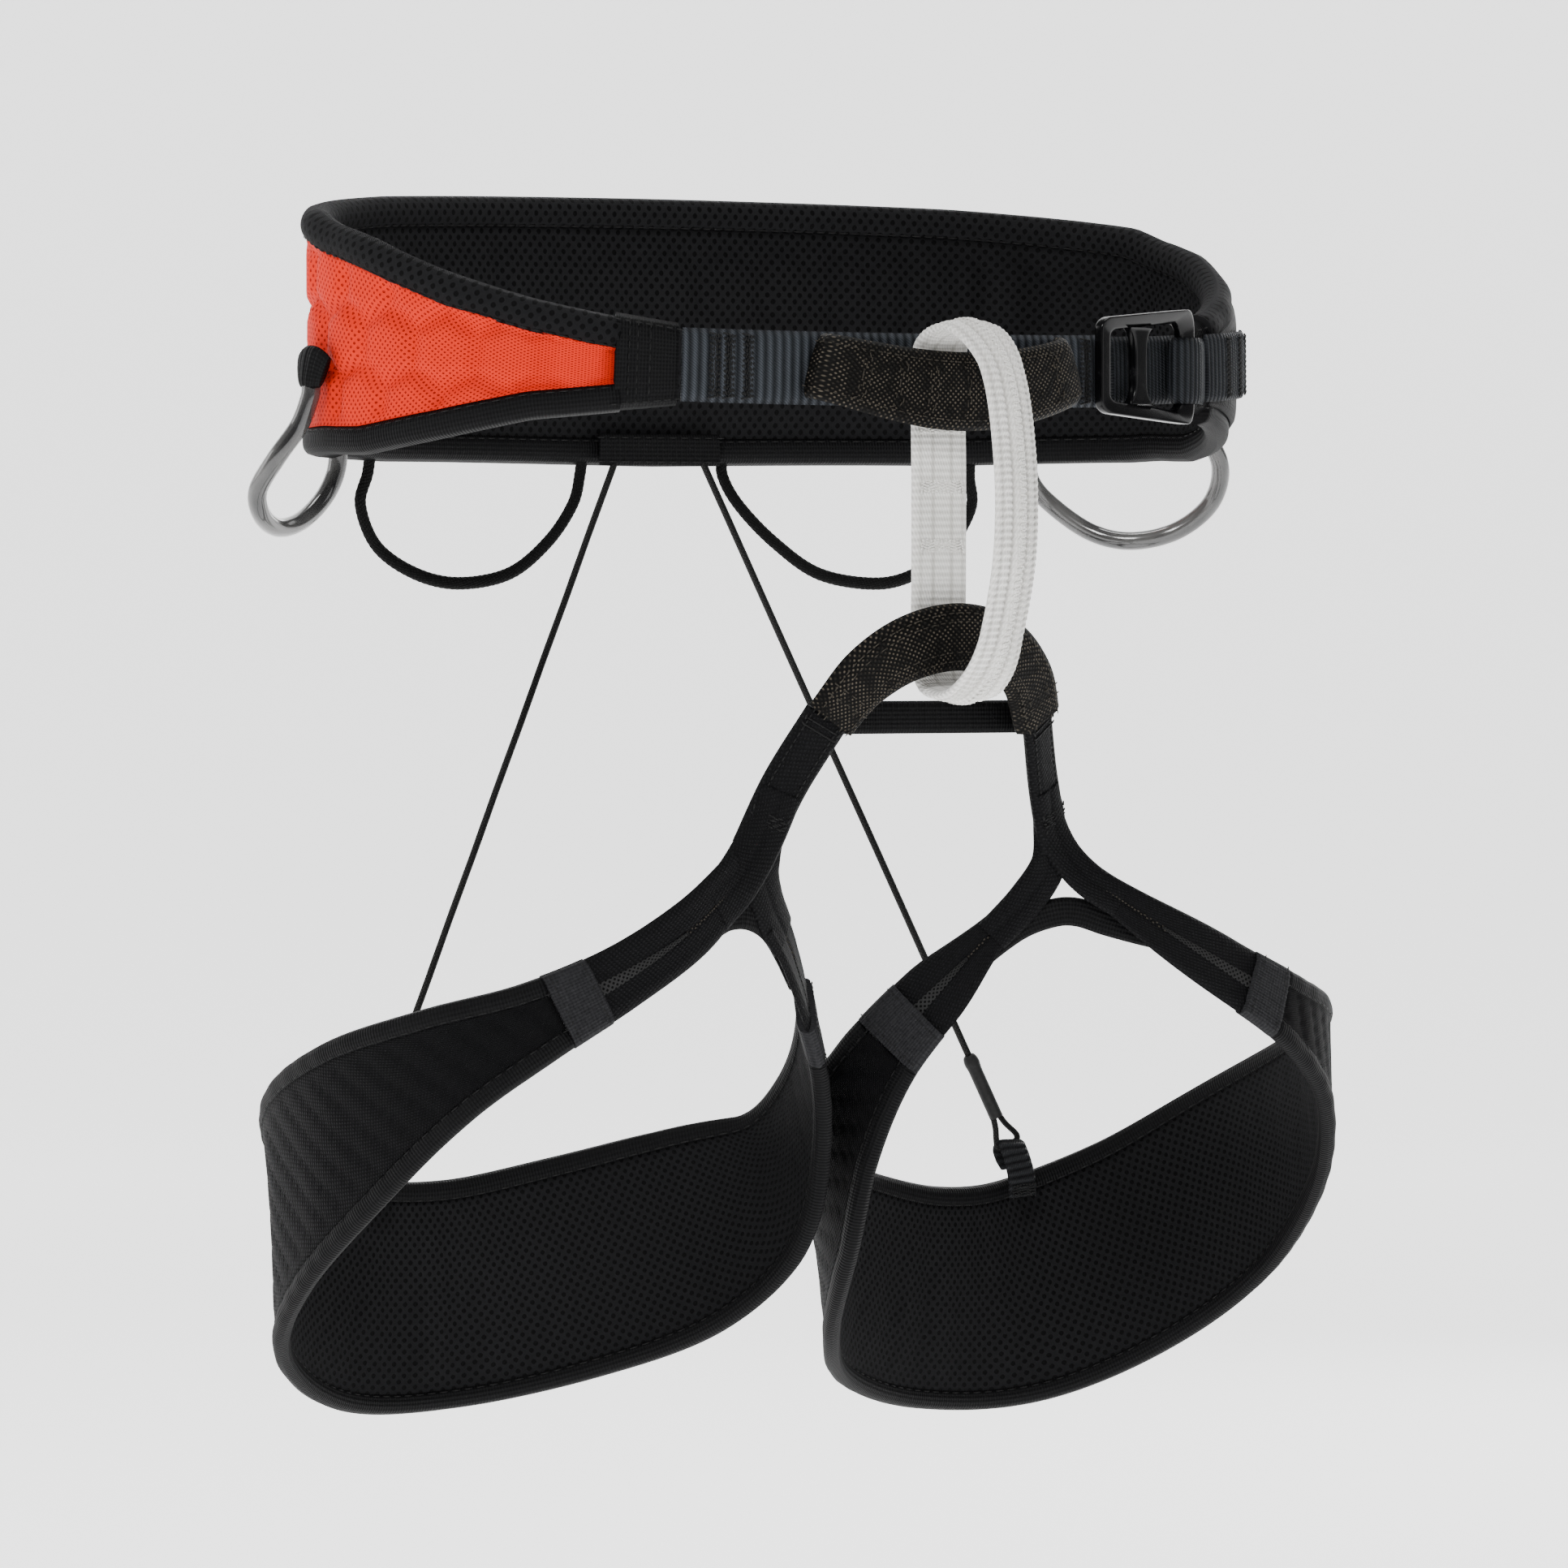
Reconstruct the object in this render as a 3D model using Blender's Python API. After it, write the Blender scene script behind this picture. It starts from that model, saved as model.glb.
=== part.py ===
"""A climbing harness worn by nobody: waist belt, belay loop, leg loops and elastic rear risers.

The wearer faces -Y and the wearer's left is +X. The origin is at the middle of the waist belt, level
with the middle of its front webbing. Routes and sections are in millimetres, the objects in metres.
"""
import math

import bmesh
import bpy
import numpy as np

MM = 0.001
GAP = 0.35                 # between pieces that touch on the real harness

# Waist belt, a superellipse in plan
BELT_HALF_WIDTH = 137.5
BELT_FRONT_DEPTH = 83.0
BELT_BACK_DEPTH = 60.0
BELT_SQUARENESS = 2.4
BELT_RISE = 0.105           # the belt climbs this much per millimetre towards the back
BELT_THICKNESS = 8.0
SHELL_THICKNESS = 1.6
LINING_THICKNESS = 1.6
TOP_ROLL = 9.5             # height of the rolled mesh edge
BOTTOM_BINDING = 8.5
WING_END_LEFT = 47.0       # degrees round from the front
WING_END_RIGHT = 322.5
END_TAB_SPAN = 8.0         # degrees
# How far the wing's top and bottom stand from its middle: (degrees from the front, top, bottom)
WING_HEIGHTS = [(37, 12, -13.5), (51, 16, -17), (67, 22, -24), (83, 29, -30.5), (100, 34, -33.5),
                (140, 36, -38), (180, 36.3, -39.9)]

# Front webbing, buckle and tie-in points
WEBBING_WIDTH = 20.0
WEBBING_THICKNESS = 2.4
BUCKLE_ANGLE = 28.0        # degrees round from the front to the buckle's middle
BUCKLE_WIDTH = 41.0
BUCKLE_HEIGHT = 33.0
BUCKLE_BAR = 5.0
BUCKLE_DEPTH = 4.0
SLIDER_BAR = 5.0
SLIDER_TRAVEL_ROOM = 3.0
TIE_IN_WIDTH = 21.5
TIE_IN_THICKNESS = 4.5
TIE_IN_BULGE = 8.8
TIE_IN_DROP = -6.0
TIE_IN_FROM, TIE_IN_TO = -11.5, 14.0

BELAY_WIDTH = 18.0
BELAY_THICKNESS = 3.5
BELAY_SIDE = -1.0          # the loop hangs this far to the wearer's left
BELAY_ROUTE = [(-89.8, -66), (-89.8, -38), (-89.6, -8), (-93.5, 0.2), (-105, 2.5), (-116, -3.5), (-123, -15),
               (-127, -36), (-127, -56), (-123.5, -72), (-117, -87.5), (-108, -95.7), (-99, -97.2),
               (-91.7, -94), (-89.6, -83)]
BELAY_PIVOT = (-1.0, -93.0, -15.0)

ARCH_THICKNESS = 6.0
ARCH_WIDTH = 18.4
ARCH_END_WIDTH = 16.0
ARCH_ROUTE = [(-34, -86, -104), (-26.5, -92, -92.5), (-15, -96.5, -84.5), (0, -98, -81.5),
              (15, -96.5, -84.5), (26.5, -92, -92.5), (34, -86, -104)]
CROSS_STRAP_WIDTH = 9.0
CROSS_STRAP_LEVEL = -103.5
JUNCTION = (50.0, -71.0, -142.5)

# One leg loop, left side; the right side is its mirror image: (x, y, z, width)
LEG_RING = [(55, -74, -146, 16), (76, -82, -160, 17), (100, -84, -173, 18), (125, -80, -185, 23),
            (146, -66, -197, 34), (158, -40, -213, 49), (158, -7, -232, 60), (143, 21, -251, 63),
            (113, 36, -264, 65), (80, 36, -265, 64), (47, 24, -258, 63), (23, 4, -248, 60),
            (9, -15, -235, 50), (6, -29, -216, 36), (12, -43, -194, 25), (28, -58, -171, 18),
            (44, -68.5, -152, 15)]
LEG_CENTRE = (80.0, -20.0)
LEG_DROP = 7.0             # the left leg loop hangs this much lower at its back
LEG_DROP_DEPTH = 127.0     # and this is how far below its junction the back lies
BRIDGE_PIVOT = (0.0, -98.0, -90.0)
RISER_STRAP_THICKNESS = 4.0
RISER_STRAP_WIDTH = 13.0
LEG_PAD_THICKNESS = 5.0
LEG_SHELL_THICKNESS = 1.5
LEG_BINDING = 6.5
LEG_STRAP_THICKNESS = 2.2
WRAP_THICKNESS = 5.6
WRAP_LENGTH = 13.0
PAD_FROM, PAD_TO = 0.151, 0.885        # shares of the ring's length from the outer strap's end
RING_LAST = 0.985

# Elastic rear risers
RISER_DIAMETER = 2.0
SLEEVE_DIAMETER = 3.4
RISER_TOP = (16.0, 54.4, -35.0)
ANCHOR_HEIGHT = 15.0
ANCHOR_HALF_LENGTH = 24.0
ANCHOR_THICKNESS = 1.5
RISER_END = (104.0, 37.0, -216.5)
SLEEVE_LENGTH = 20.0
END_LOOP_LENGTH = 8.0
RISER_TAB_WIDTH = 11.0

# Gear loops, left side
TUBE_DIAMETER = 5.3
TUBE_WALL = 1.0
CORD_DIAMETER = 2.6
REAR_LOOP_DIAMETER = 3.2
FRONT_GEAR_LEFT = [(144.8, -3, -16.5), (149, -3, -23), (156, -1, -33), (157, 5, -43.5), (150, 12, -51.5),
                   (139, 19, -54.5), (131, 28, -52), (122.5, 36, -44), (116.5, 38, -36.5)]
FRONT_GEAR_RIGHT = [(-144.8, 4, -16.5), (-147, 6, -24), (-152, 10, -33), (-153.5, 17, -41.5),
                    (-149.5, 22, -48), (-141, 28, -51.5), (-131, 33, -50), (-121.5, 37, -44),
                    (-116.5, 38, -36.5)]
REAR_GEAR = [(101, 46.5, -36), (102.5, 48, -45), (96, 50, -56.5), (84, 49.5, -64), (70, 49, -66.8),
             (52, 51, -64), (38, 53, -55), (28, 56, -44.5), (24, 58.5, -36)]
GEAR_TAB = (12.0, 9.0, 4.6)            # along the belt, high, thick
TAB_CLEARANCE = 2.6                    # lets the tube swing below its tab

COLOURS = {
    "orange_knit": ((0.83, 0.06, 0.02), 0.75, 0.0), "foam": ((0.1, 0.1, 0.1), 0.9, 0.0),
    "black_mesh": ((0.012, 0.012, 0.014), 0.8, 0.0), "binding": ((0.015, 0.015, 0.016), 0.7, 0.0),
    "webbing": ((0.02, 0.022, 0.026), 0.65, 0.0), "sheath": ((0.025, 0.022, 0.018), 0.7, 0.0),
    "white_webbing": ((0.8, 0.79, 0.76), 0.75, 0.0), "black_metal": ((0.01, 0.01, 0.012), 0.12, 0.9),
    "grey_tube": ((0.2, 0.19, 0.185), 0.25, 0.0), "cord": ((0.018, 0.017, 0.016), 0.7, 0.0),
    "wrap": ((0.028, 0.028, 0.03), 0.8, 0.0), "leg_knit": ((0.012, 0.012, 0.014), 0.8, 0.0),
}


def remove_everything():
    for thing in list(bpy.data.objects):
        bpy.data.objects.remove(thing, do_unlink=True)


def finish_of(name):
    material = bpy.data.materials.get(name)
    if material is None:
        colour, roughness, metallic = COLOURS[name]
        material = bpy.data.materials.new(name)
        material.use_nodes = True
        shader = material.node_tree.nodes["Principled BSDF"]
        shader.inputs["Base Color"].default_value = (*colour, 1.0)
        shader.inputs["Roughness"].default_value = roughness
        shader.inputs["Metallic"].default_value = metallic
    return material


def unit(vectors):
    return vectors / np.linalg.norm(vectors, axis=-1, keepdims=True)


def through(points, count, closed=False):
    """A smooth Catmull-Rom curve through the points, read at equal steps of its length."""
    points = np.array(points, dtype=float)
    if closed:
        ends = np.vstack([points[-1], points, points[0], points[1]])
    else:
        ends = np.vstack([2 * points[0] - points[1], points, 2 * points[-1] - points[-2]])
    fine = []
    for a, b, c, d in zip(ends, ends[1:], ends[2:], ends[3:]):
        for t in np.linspace(0, 1, 16, endpoint=False):
            fine.append(0.5 * (2 * b + (c - a) * t + (2 * a - 5 * b + 4 * c - d) * t * t
                               + (3 * b - a - 3 * c + d) * t ** 3))
    fine.append(points[0] if closed else points[-1])
    fine = np.array(fine)
    steps = np.linalg.norm(np.diff(fine[:, :3], axis=0), axis=1)
    along = np.concatenate([[0], np.cumsum(steps)])
    wanted = np.linspace(0, along[-1], count + 1 if closed else count)
    read = np.array([np.interp(wanted, along, fine[:, k]) for k in range(fine.shape[1])]).T
    return read[:-1] if closed else read


def directions(path, outward, closed):
    """Along, outward and across directions of a strap, each a unit vector at each station."""
    if closed:
        along = np.roll(path, -1, axis=0) - np.roll(path, 1, axis=0)
    else:
        along = np.gradient(path, axis=0)
    along = unit(along)
    outward = np.broadcast_to(np.array(outward, dtype=float), path.shape)
    outward = unit(outward - np.sum(outward * along, axis=1, keepdims=True) * along)
    return along, outward, np.cross(outward, along)


def solid(name, vertices, faces, finish, origin=(0, 0, 0)):
    """A closed mesh object from millimetre vertices, with its origin at the given point."""
    mesh = bpy.data.meshes.new(name)
    origin = np.array(origin, dtype=float)
    mesh.from_pydata([tuple((np.array(v) - origin) * MM) for v in vertices], [], faces)
    shape = bmesh.new()
    shape.from_mesh(mesh)
    bmesh.ops.recalc_face_normals(shape, faces=shape.faces)
    shape.to_mesh(mesh)
    shape.free()
    mesh.materials.append(finish_of(finish))
    thing = bpy.data.objects.new(name, mesh)
    thing.location = tuple(origin * MM)
    bpy.context.collection.objects.link(thing)
    return thing


def loft(name, rings, finish, closed=False, origin=(0, 0, 0)):
    """Skin over equal rings of points, closed into a hoop or capped at both ends."""
    count, sides = len(rings), len(rings[0])
    vertices = [point for ring in rings for point in ring]
    faces = []
    for i in range(count if closed else count - 1):
        j = (i + 1) % count
        for k in range(sides):
            m = (k + 1) % sides
            a, b, c, d = i * sides + k, i * sides + m, j * sides + m, j * sides + k
            # neighbouring layers split their twisted faces along the same diagonal
            faces += [(a, b, d), (b, c, d)] if k % 4 == 2 else [(a, b, c), (a, c, d)]
    if not closed:
        faces.append(tuple(range(sides)))
        faces.append(tuple((count - 1) * sides + k for k in reversed(range(sides))))
    return solid(name, vertices, faces, finish, origin)


def strap(name, path, outward, low, high, inner, outer, finish, closed=False, origin=(0, 0, 0)):
    """A flat strap: low to high across it, inner to outer through it, each a number or a list."""
    path = np.array(path, dtype=float)
    _, out, across = directions(path, outward, closed)
    low, high, inner, outer = (np.broadcast_to(v, len(path)) for v in (low, high, inner, outer))
    rings = [[p + a * w + o * t for w, t in ((lo, inn), (hi, inn), (hi, ou), (lo, ou))]
             for p, o, a, lo, hi, inn, ou in zip(path, out, across, low, high, inner, outer)]
    return loft(name, rings, finish, closed, origin)


def rod(name, route, diameter, count, finish, origin=(0, 0, 0)):
    """A round cord through the route's points, as a bevelled curve with filled ends."""
    curve = bpy.data.curves.new(name, "CURVE")
    curve.dimensions = "3D"
    curve.bevel_depth = diameter / 2 * MM
    curve.bevel_resolution = 2
    curve.use_fill_caps = True
    spline = curve.splines.new("POLY")
    points = through(route, count)
    spline.points.add(len(points) - 1)
    origin = np.array(origin, dtype=float)
    for target, point in zip(spline.points, points):
        target.co = (*((point - origin) * MM), 1.0)
    curve.materials.append(finish_of(finish))
    thing = bpy.data.objects.new(name, curve)
    thing.location = tuple(origin * MM)
    bpy.context.collection.objects.link(thing)
    return thing


def pipe(name, route, diameter, wall, count, finish, origin, sideways, sides=10):
    """A bent tube that is open at both ends."""
    path = through(route, count)
    _, out, across = directions(path, sideways, False)
    turns = np.linspace(0, 2 * math.pi, sides, endpoint=False)
    vertices, faces = [], []
    for p, o, a in zip(path, out, across):
        for radius in (diameter / 2, diameter / 2 - wall):
            vertices += [p + radius * (o * math.cos(t) + a * math.sin(t)) for t in turns]
    for i in range(count):
        for k in range(sides):
            m = (k + 1) % sides
            ring, last = i * 2 * sides, i == count - 1
            if not last:
                after = ring + 2 * sides
                faces.append((ring + k, ring + m, after + m, after + k))
                faces.append((ring + sides + k, after + sides + k, after + sides + m, ring + sides + m))
            if last or i == 0:
                faces.append((ring + k, ring + m, ring + sides + m, ring + sides + k))
    return solid(name, vertices, faces, finish, origin)


def mirrored(points, side):
    return [(side * p[0], *p[1:]) for p in points]


# ---------------------------------------------------------------- waist belt
def belt_point(degrees, level=0.0):
    """A point on the middle surface of the belt, and the outward direction there."""
    angle = math.radians(degrees)
    s, c = math.sin(angle), math.cos(angle)
    depth = BELT_FRONT_DEPTH if c > 0 else BELT_BACK_DEPTH
    power = 2 / BELT_SQUARENESS
    x = BELT_HALF_WIDTH * math.copysign(abs(s) ** power, s)
    y = -depth * math.copysign(abs(c) ** power, c)
    lean = BELT_SQUARENESS - 1
    outward = (math.copysign((abs(x) / BELT_HALF_WIDTH) ** lean, x) / BELT_HALF_WIDTH,
               math.copysign((abs(y) / depth) ** lean, y) / depth, 0.0)
    return np.array((x, y, level + BELT_RISE * y)), unit(np.array(outward))


def belt_path(start, end, count):
    """Stations at equal steps along the belt between two angles."""
    fine = np.array([belt_point(a)[0] for a in np.linspace(start, end, 400)])
    along = np.concatenate([[0], np.cumsum(np.linalg.norm(np.diff(fine, axis=0), axis=1))])
    angles = np.interp(np.linspace(0, along[-1], count), along, np.linspace(start, end, 400))
    read = [belt_point(a) for a in angles]
    return np.array([r[0] for r in read]), np.array([r[1] for r in read]), angles


def wing_height(angles):
    from_front = np.minimum(angles, 360 - angles)
    table = np.array(WING_HEIGHTS, dtype=float)
    return (np.interp(from_front, table[:, 0], table[:, 1]),
            np.interp(from_front, table[:, 0], table[:, 2]))


def make_waist_belt():
    path, out, angles = belt_path(WING_END_LEFT, WING_END_RIGHT, 64)
    top, bottom = wing_height(angles)
    half = BELT_THICKNESS / 2
    high, low = top - TOP_ROLL - GAP, bottom + BOTTOM_BINDING + GAP
    foam_in, foam_out = -half + LINING_THICKNESS + GAP, half - SHELL_THICKNESS - GAP
    strap("waist_shell", path, out, low, high, half - SHELL_THICKNESS, half, "orange_knit")
    strap("waist_core", path, out, low, high, foam_in, foam_out, "foam")
    strap("waist_lining", path, out, low, high, -half, -half + LINING_THICKNESS, "black_mesh")
    strap("waist_edge_top", path, out, top - TOP_ROLL, top, -half, half, "black_mesh")
    strap("waist_edge_bottom", path, out, bottom, bottom + BOTTOM_BINDING, -half, half, "binding")
    gap_angle = 0.25
    for name, start, end in (("waist_end_left", WING_END_LEFT - gap_angle - END_TAB_SPAN,
                              WING_END_LEFT - gap_angle),
                             ("waist_end_right", WING_END_RIGHT + gap_angle,
                              WING_END_RIGHT + gap_angle + END_TAB_SPAN)):
        path, out, angles = belt_path(start, end, 5)
        share = np.linspace(0, 1, 5) if name.endswith("left") else np.linspace(1, 0, 5)
        half_height = WEBBING_WIDTH / 2 + 1 + 2.0 * share
        strap(name, path, out, -half_height, half_height, -2 - 1.5 * share, 2 + 1.5 * share, "binding")


# ---------------------------------------------------------------- front
def make_front():
    near_bar = BUCKLE_ANGLE - 6.2
    right_start = WING_END_RIGHT - 360 + 0.5 + END_TAB_SPAN + 0.25
    half = WEBBING_WIDTH / 2
    path, out, _ = belt_path(right_start, near_bar, 22)
    strap("waist_webbing", path, out, -half, half, 0, WEBBING_THICKNESS, "webbing")

    path, out, angles = belt_path(TIE_IN_FROM, TIE_IN_TO, 15)
    share = np.linspace(0, 1, 15)
    lift = WEBBING_THICKNESS + GAP + TIE_IN_BULGE * np.sin(math.pi * share) ** 0.35
    path = path + out * lift[:, None] + np.array((0, 0, 1)) * (TIE_IN_DROP * np.sin(math.pi * share))[:, None]
    wide = TIE_IN_WIDTH / 2 - 1.5 + 1.5 * np.sin(math.pi * share)
    strap("upper_tie_in", path, (0, -1, 0), -wide, wide, 0, TIE_IN_THICKNESS, "sheath")


def buckle_axes():
    centre, out = belt_point(BUCKLE_ANGLE)
    return centre, out, np.cross(np.array((0, 0, 1.0)), out)


def buckle_box(x0, x1, z0, z1, y0, y1):
    """Corners of a block in the buckle's own axes: along the belt, up, and outward."""
    centre, out, along = buckle_axes()
    up = np.array((0, 0, 1.0))
    return [[centre + along * x + up * z + out * y for z, y in ((z0, y0), (z1, y0), (z1, y1), (z0, y1))]
            for x in (x0, x1)]


def make_buckle():
    """A bent plate frame with a bar that slides across it to grip the strap."""
    centre, out, along = buckle_axes()
    up = np.array((0, 0, 1.0))
    half_w, half_h = BUCKLE_WIDTH / 2, BUCKLE_HEIGHT / 2
    face = WEBBING_THICKNESS + 0.8
    corners = 5
    outline = []
    for cx, cz, start in ((half_w, half_h, 0), (-half_w, half_h, 90), (-half_w, -half_h, 180),
                          (half_w, -half_h, 270)):
        radius = 6.0 if cx > 0 else 4.0
        for turn in np.linspace(start, start + 90, corners):
            t = math.radians(turn)
            outline.append((cx - math.copysign(radius, cx) + radius * math.cos(t),
                            cz - math.copysign(radius, cz) + radius * math.sin(t)))
    rings = []
    for x, z in outline:
        direction = unit(np.array((x / half_w, z / half_h)))
        inner_x = x - direction[0] * BUCKLE_BAR
        inner_z = z - math.copysign(min(abs(direction[1]) * BUCKLE_BAR, abs(z)), z)
        section = ((inner_x, inner_z, 0), (x, z, 0), (x, z, BUCKLE_DEPTH), (inner_x, inner_z, BUCKLE_DEPTH))
        rings.append([centre + along * a + up * b + out * (face + c) for a, b, c in section])
    loft("buckle_frame", rings, "black_metal", closed=True)
    slider_half = half_h - BUCKLE_BAR - 0.8
    loft("buckle_slider", buckle_box(-6, -6 + SLIDER_BAR, -slider_half, slider_half, face + 0.6,
                                     face + BUCKLE_DEPTH - 0.4), "black_metal")
    half = WEBBING_WIDTH / 2
    path, out_left, _ = belt_path(BUCKLE_ANGLE - 4.5, WING_END_LEFT - END_TAB_SPAN - 0.75, 8)
    strap("adjust_strap", path, out_left, -half + 0.5, half - 0.5, -0.2, WEBBING_THICKNESS - 0.4, "webbing")


def make_belay_loop():
    route = through([(BELAY_SIDE, y, z) for y, z in BELAY_ROUTE], 44, closed=True)
    middle = route.mean(axis=0)
    _, out, _ = directions(route, (1.0, 0, 0), True)
    along, _, across = directions(route, out, True)
    outward = across * np.sign(np.sum(across * (route - middle), axis=1, keepdims=True))
    half, thick = BELAY_WIDTH / 2, BELAY_THICKNESS / 2
    strap("belay_loop", route, outward, -half, half, -thick, thick, "white_webbing", True, BELAY_PIVOT)


# ---------------------------------------------------------------- leg bridge
def make_leg_bridge():
    route = through(ARCH_ROUTE, 21)
    share = np.abs(np.linspace(-1, 1, 21))
    half = ARCH_WIDTH / 2 + (ARCH_END_WIDTH - ARCH_WIDTH) / 2 * share ** 2
    thick = ARCH_THICKNESS / 2
    strap("lower_tie_in", route, (0, -1, 0), -half, half, -thick, thick, "sheath", origin=BRIDGE_PIVOT)
    end = ARCH_ROUTE[-1]
    behind = end[1] + thick + 2.6
    cross = [(x, behind, CROSS_STRAP_LEVEL) for x in (-end[0], -end[0] / 2, end[0] / 2, end[0])]
    half = CROSS_STRAP_WIDTH / 2
    strap("cross_strap", cross, (0, -1, 0), -half, half, -1, 1, "binding", origin=BRIDGE_PIVOT)
    for side, name in ((1, "left"), (-1, "right")):
        x, y, z = JUNCTION
        ends = [(end[0] + 1.2, end[1] + 0.8, end[2] - 1.6), (x - 7.5, y - 5.5, z + 21),
                (x - 0.6, y - 0.6, z + 3)]
        route = through(mirrored(ends, side), 8)
        wide = RISER_STRAP_WIDTH / 2
        thick = RISER_STRAP_THICKNESS / 2
        strap("riser_strap_" + name, route, (0.35 * side, -0.93, 0), -wide, wide, -thick, thick, "leg_knit",
              origin=BRIDGE_PIVOT)


# ---------------------------------------------------------------- leg loops
def dropped(point, side):
    """The left leg loop hangs lower the further it is below its junction."""
    x, y, z = point
    fall = LEG_DROP * max(JUNCTION[2] - z, 0) / LEG_DROP_DEPTH if side > 0 else 0
    return (side * x, y, z - fall)


def ring_stretch(side, start, end, count):
    """Stations of a leg loop between two shares of its length, with outward and half width."""
    full = through(LEG_RING, 241)
    along = np.concatenate([[0], np.cumsum(np.linalg.norm(np.diff(full[:, :3], axis=0), axis=1))])
    wanted = np.linspace(start, end, count) * along[-1]
    read = np.array([np.interp(wanted, along, full[:, k]) for k in range(4)]).T
    outward = np.column_stack([(read[:, 0] - LEG_CENTRE[0]) * side, read[:, 1] - LEG_CENTRE[1],
                               np.zeros(count)])
    path = np.array([dropped(p, side) for p in read[:, :3]])
    if side < 0:
        path, outward, read = path[::-1], outward[::-1], read[::-1]
    return path, outward, read[:, 3] / 2, along[-1]


def make_leg_loop(side, name):
    pivot = (side * JUNCTION[0], JUNCTION[1], JUNCTION[2])
    length = ring_stretch(side, 0, 1, 5)[3]
    gap, wrap = 1.0 / length, WRAP_LENGTH / length
    half_pad, half_wrap = LEG_PAD_THICKNESS / 2, WRAP_THICKNESS / 2
    path, out, half, _ = ring_stretch(side, PAD_FROM + gap, PAD_TO - gap, 46)
    inner_face = half_pad - LEG_SHELL_THICKNESS - GAP
    edge = LEG_BINDING + GAP
    strap("leg_shell_" + name, path, out, edge - half, half - edge, half_pad - LEG_SHELL_THICKNESS, half_pad,
          "leg_knit", origin=pivot)
    strap("leg_lining_" + name, path, out, edge - half, half - edge, -half_pad, inner_face, "black_mesh",
          origin=pivot)
    strap("leg_edge_top_" + name, path, out, half - LEG_BINDING, half, -half_pad, half_pad, "binding",
          origin=pivot)
    strap("leg_edge_bottom_" + name, path, out, -half, LEG_BINDING - half, -half_pad, half_pad, "binding",
          origin=pivot)
    for part, start, end in (("outer", PAD_FROM - wrap, PAD_FROM), ("inner", PAD_TO, PAD_TO + wrap)):
        path, out, half, _ = ring_stretch(side, start, end, 4)
        strap("leg_wrap_%s_%s" % (part, name), path, out, -half - 0.6, half + 0.6, -half_wrap, half_wrap,
              "wrap", origin=pivot)
    half_strap = LEG_STRAP_THICKNESS / 2
    for part, start, end in (("outer", 0, PAD_FROM - wrap - gap), ("inner", PAD_TO + wrap + gap, RING_LAST)):
        path, out, half, _ = ring_stretch(side, start, end, 14)
        strap("leg_strap_%s_%s" % (part, name), path, out, -half, half, -half_strap, half_strap, "leg_knit",
              origin=pivot)
    x, y, z = JUNCTION
    under = through([dropped(p, side) for p in ((x - 5, y + 1, z - 19), (x + 2, y, z - 16.5),
                                                (x + 9, y - 1, z - 17.5), (x + 17, y - 2.5, z - 23))], 9)
    strap("leg_strap_under_" + name, under, (-0.1 * side, -1, 0), -4, 4, -0.8, 0.8, "binding", origin=pivot)


def make_riser(side, name):
    top = np.array((side * RISER_TOP[0], *RISER_TOP[1:]))
    end = np.array(dropped(RISER_END, side))
    down = unit(end - top)
    sleeve_top = end - down * SLEEVE_LENGTH
    pivot = tuple(top)
    rod("riser_cord_" + name, [top, (top + sleeve_top) / 2, sleeve_top - down * GAP], RISER_DIAMETER, 40,
        "cord", pivot)
    rod("riser_sleeve_" + name, [sleeve_top, end - down * 10, end], SLEEVE_DIAMETER, 6, "cord", pivot)
    centre = end + down * (END_LOOP_LENGTH / 2 + 0.5)
    turns = np.linspace(0, 2 * math.pi, 16, endpoint=False)
    sideways = unit(np.cross(down, (0, 1, 0)))
    hoop = np.array([centre + down * (END_LOOP_LENGTH / 2 - 0.6) * math.cos(t) + sideways * 1.4 * math.sin(t)
                     for t in turns])
    _, out, across = directions(hoop, hoop - centre, True)
    rings = [[p + 0.55 * (o * math.cos(t) + a * math.sin(t)) for t in np.linspace(0, 2 * math.pi, 7)[:-1]]
             for p, o, a in zip(hoop, out, across)]
    loft("riser_end_loop_" + name, rings, "cord", True, pivot)
    x, y, z = end + down * (END_LOOP_LENGTH + 0.6)
    bend = through([(x + side * 1.5, y - 5.2, z - 17), (x + side, y - 5.2, z - 9),
                    (x + 0.5 * side, y - 3, z - 3.2), (x, y + 0.4, z - 1.4)], 8)
    half = RISER_TAB_WIDTH / 2
    strap("riser_tab_" + name, bend, (0, -1, 0.3), -half, half, -0.8, 0.8, "webbing",
          origin=(side * JUNCTION[0], *JUNCTION[1:]))


def make_riser_anchor():
    level = RISER_TOP[2] + GAP + 0.1 + ANCHOR_HEIGHT / 2
    inside = BELT_BACK_DEPTH - BELT_THICKNESS / 2 - GAP - ANCHOR_THICKNESS / 2
    reach = ANCHOR_HALF_LENGTH
    path = [(reach, inside - 0.6, level), (0, inside - 0.6, level), (-reach, inside - 0.6, level)]
    half, thick = ANCHOR_HEIGHT / 2, ANCHOR_THICKNESS / 2
    strap("riser_anchor", path, (0, 1, 0), -half, half, -thick, thick, "webbing")


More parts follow.
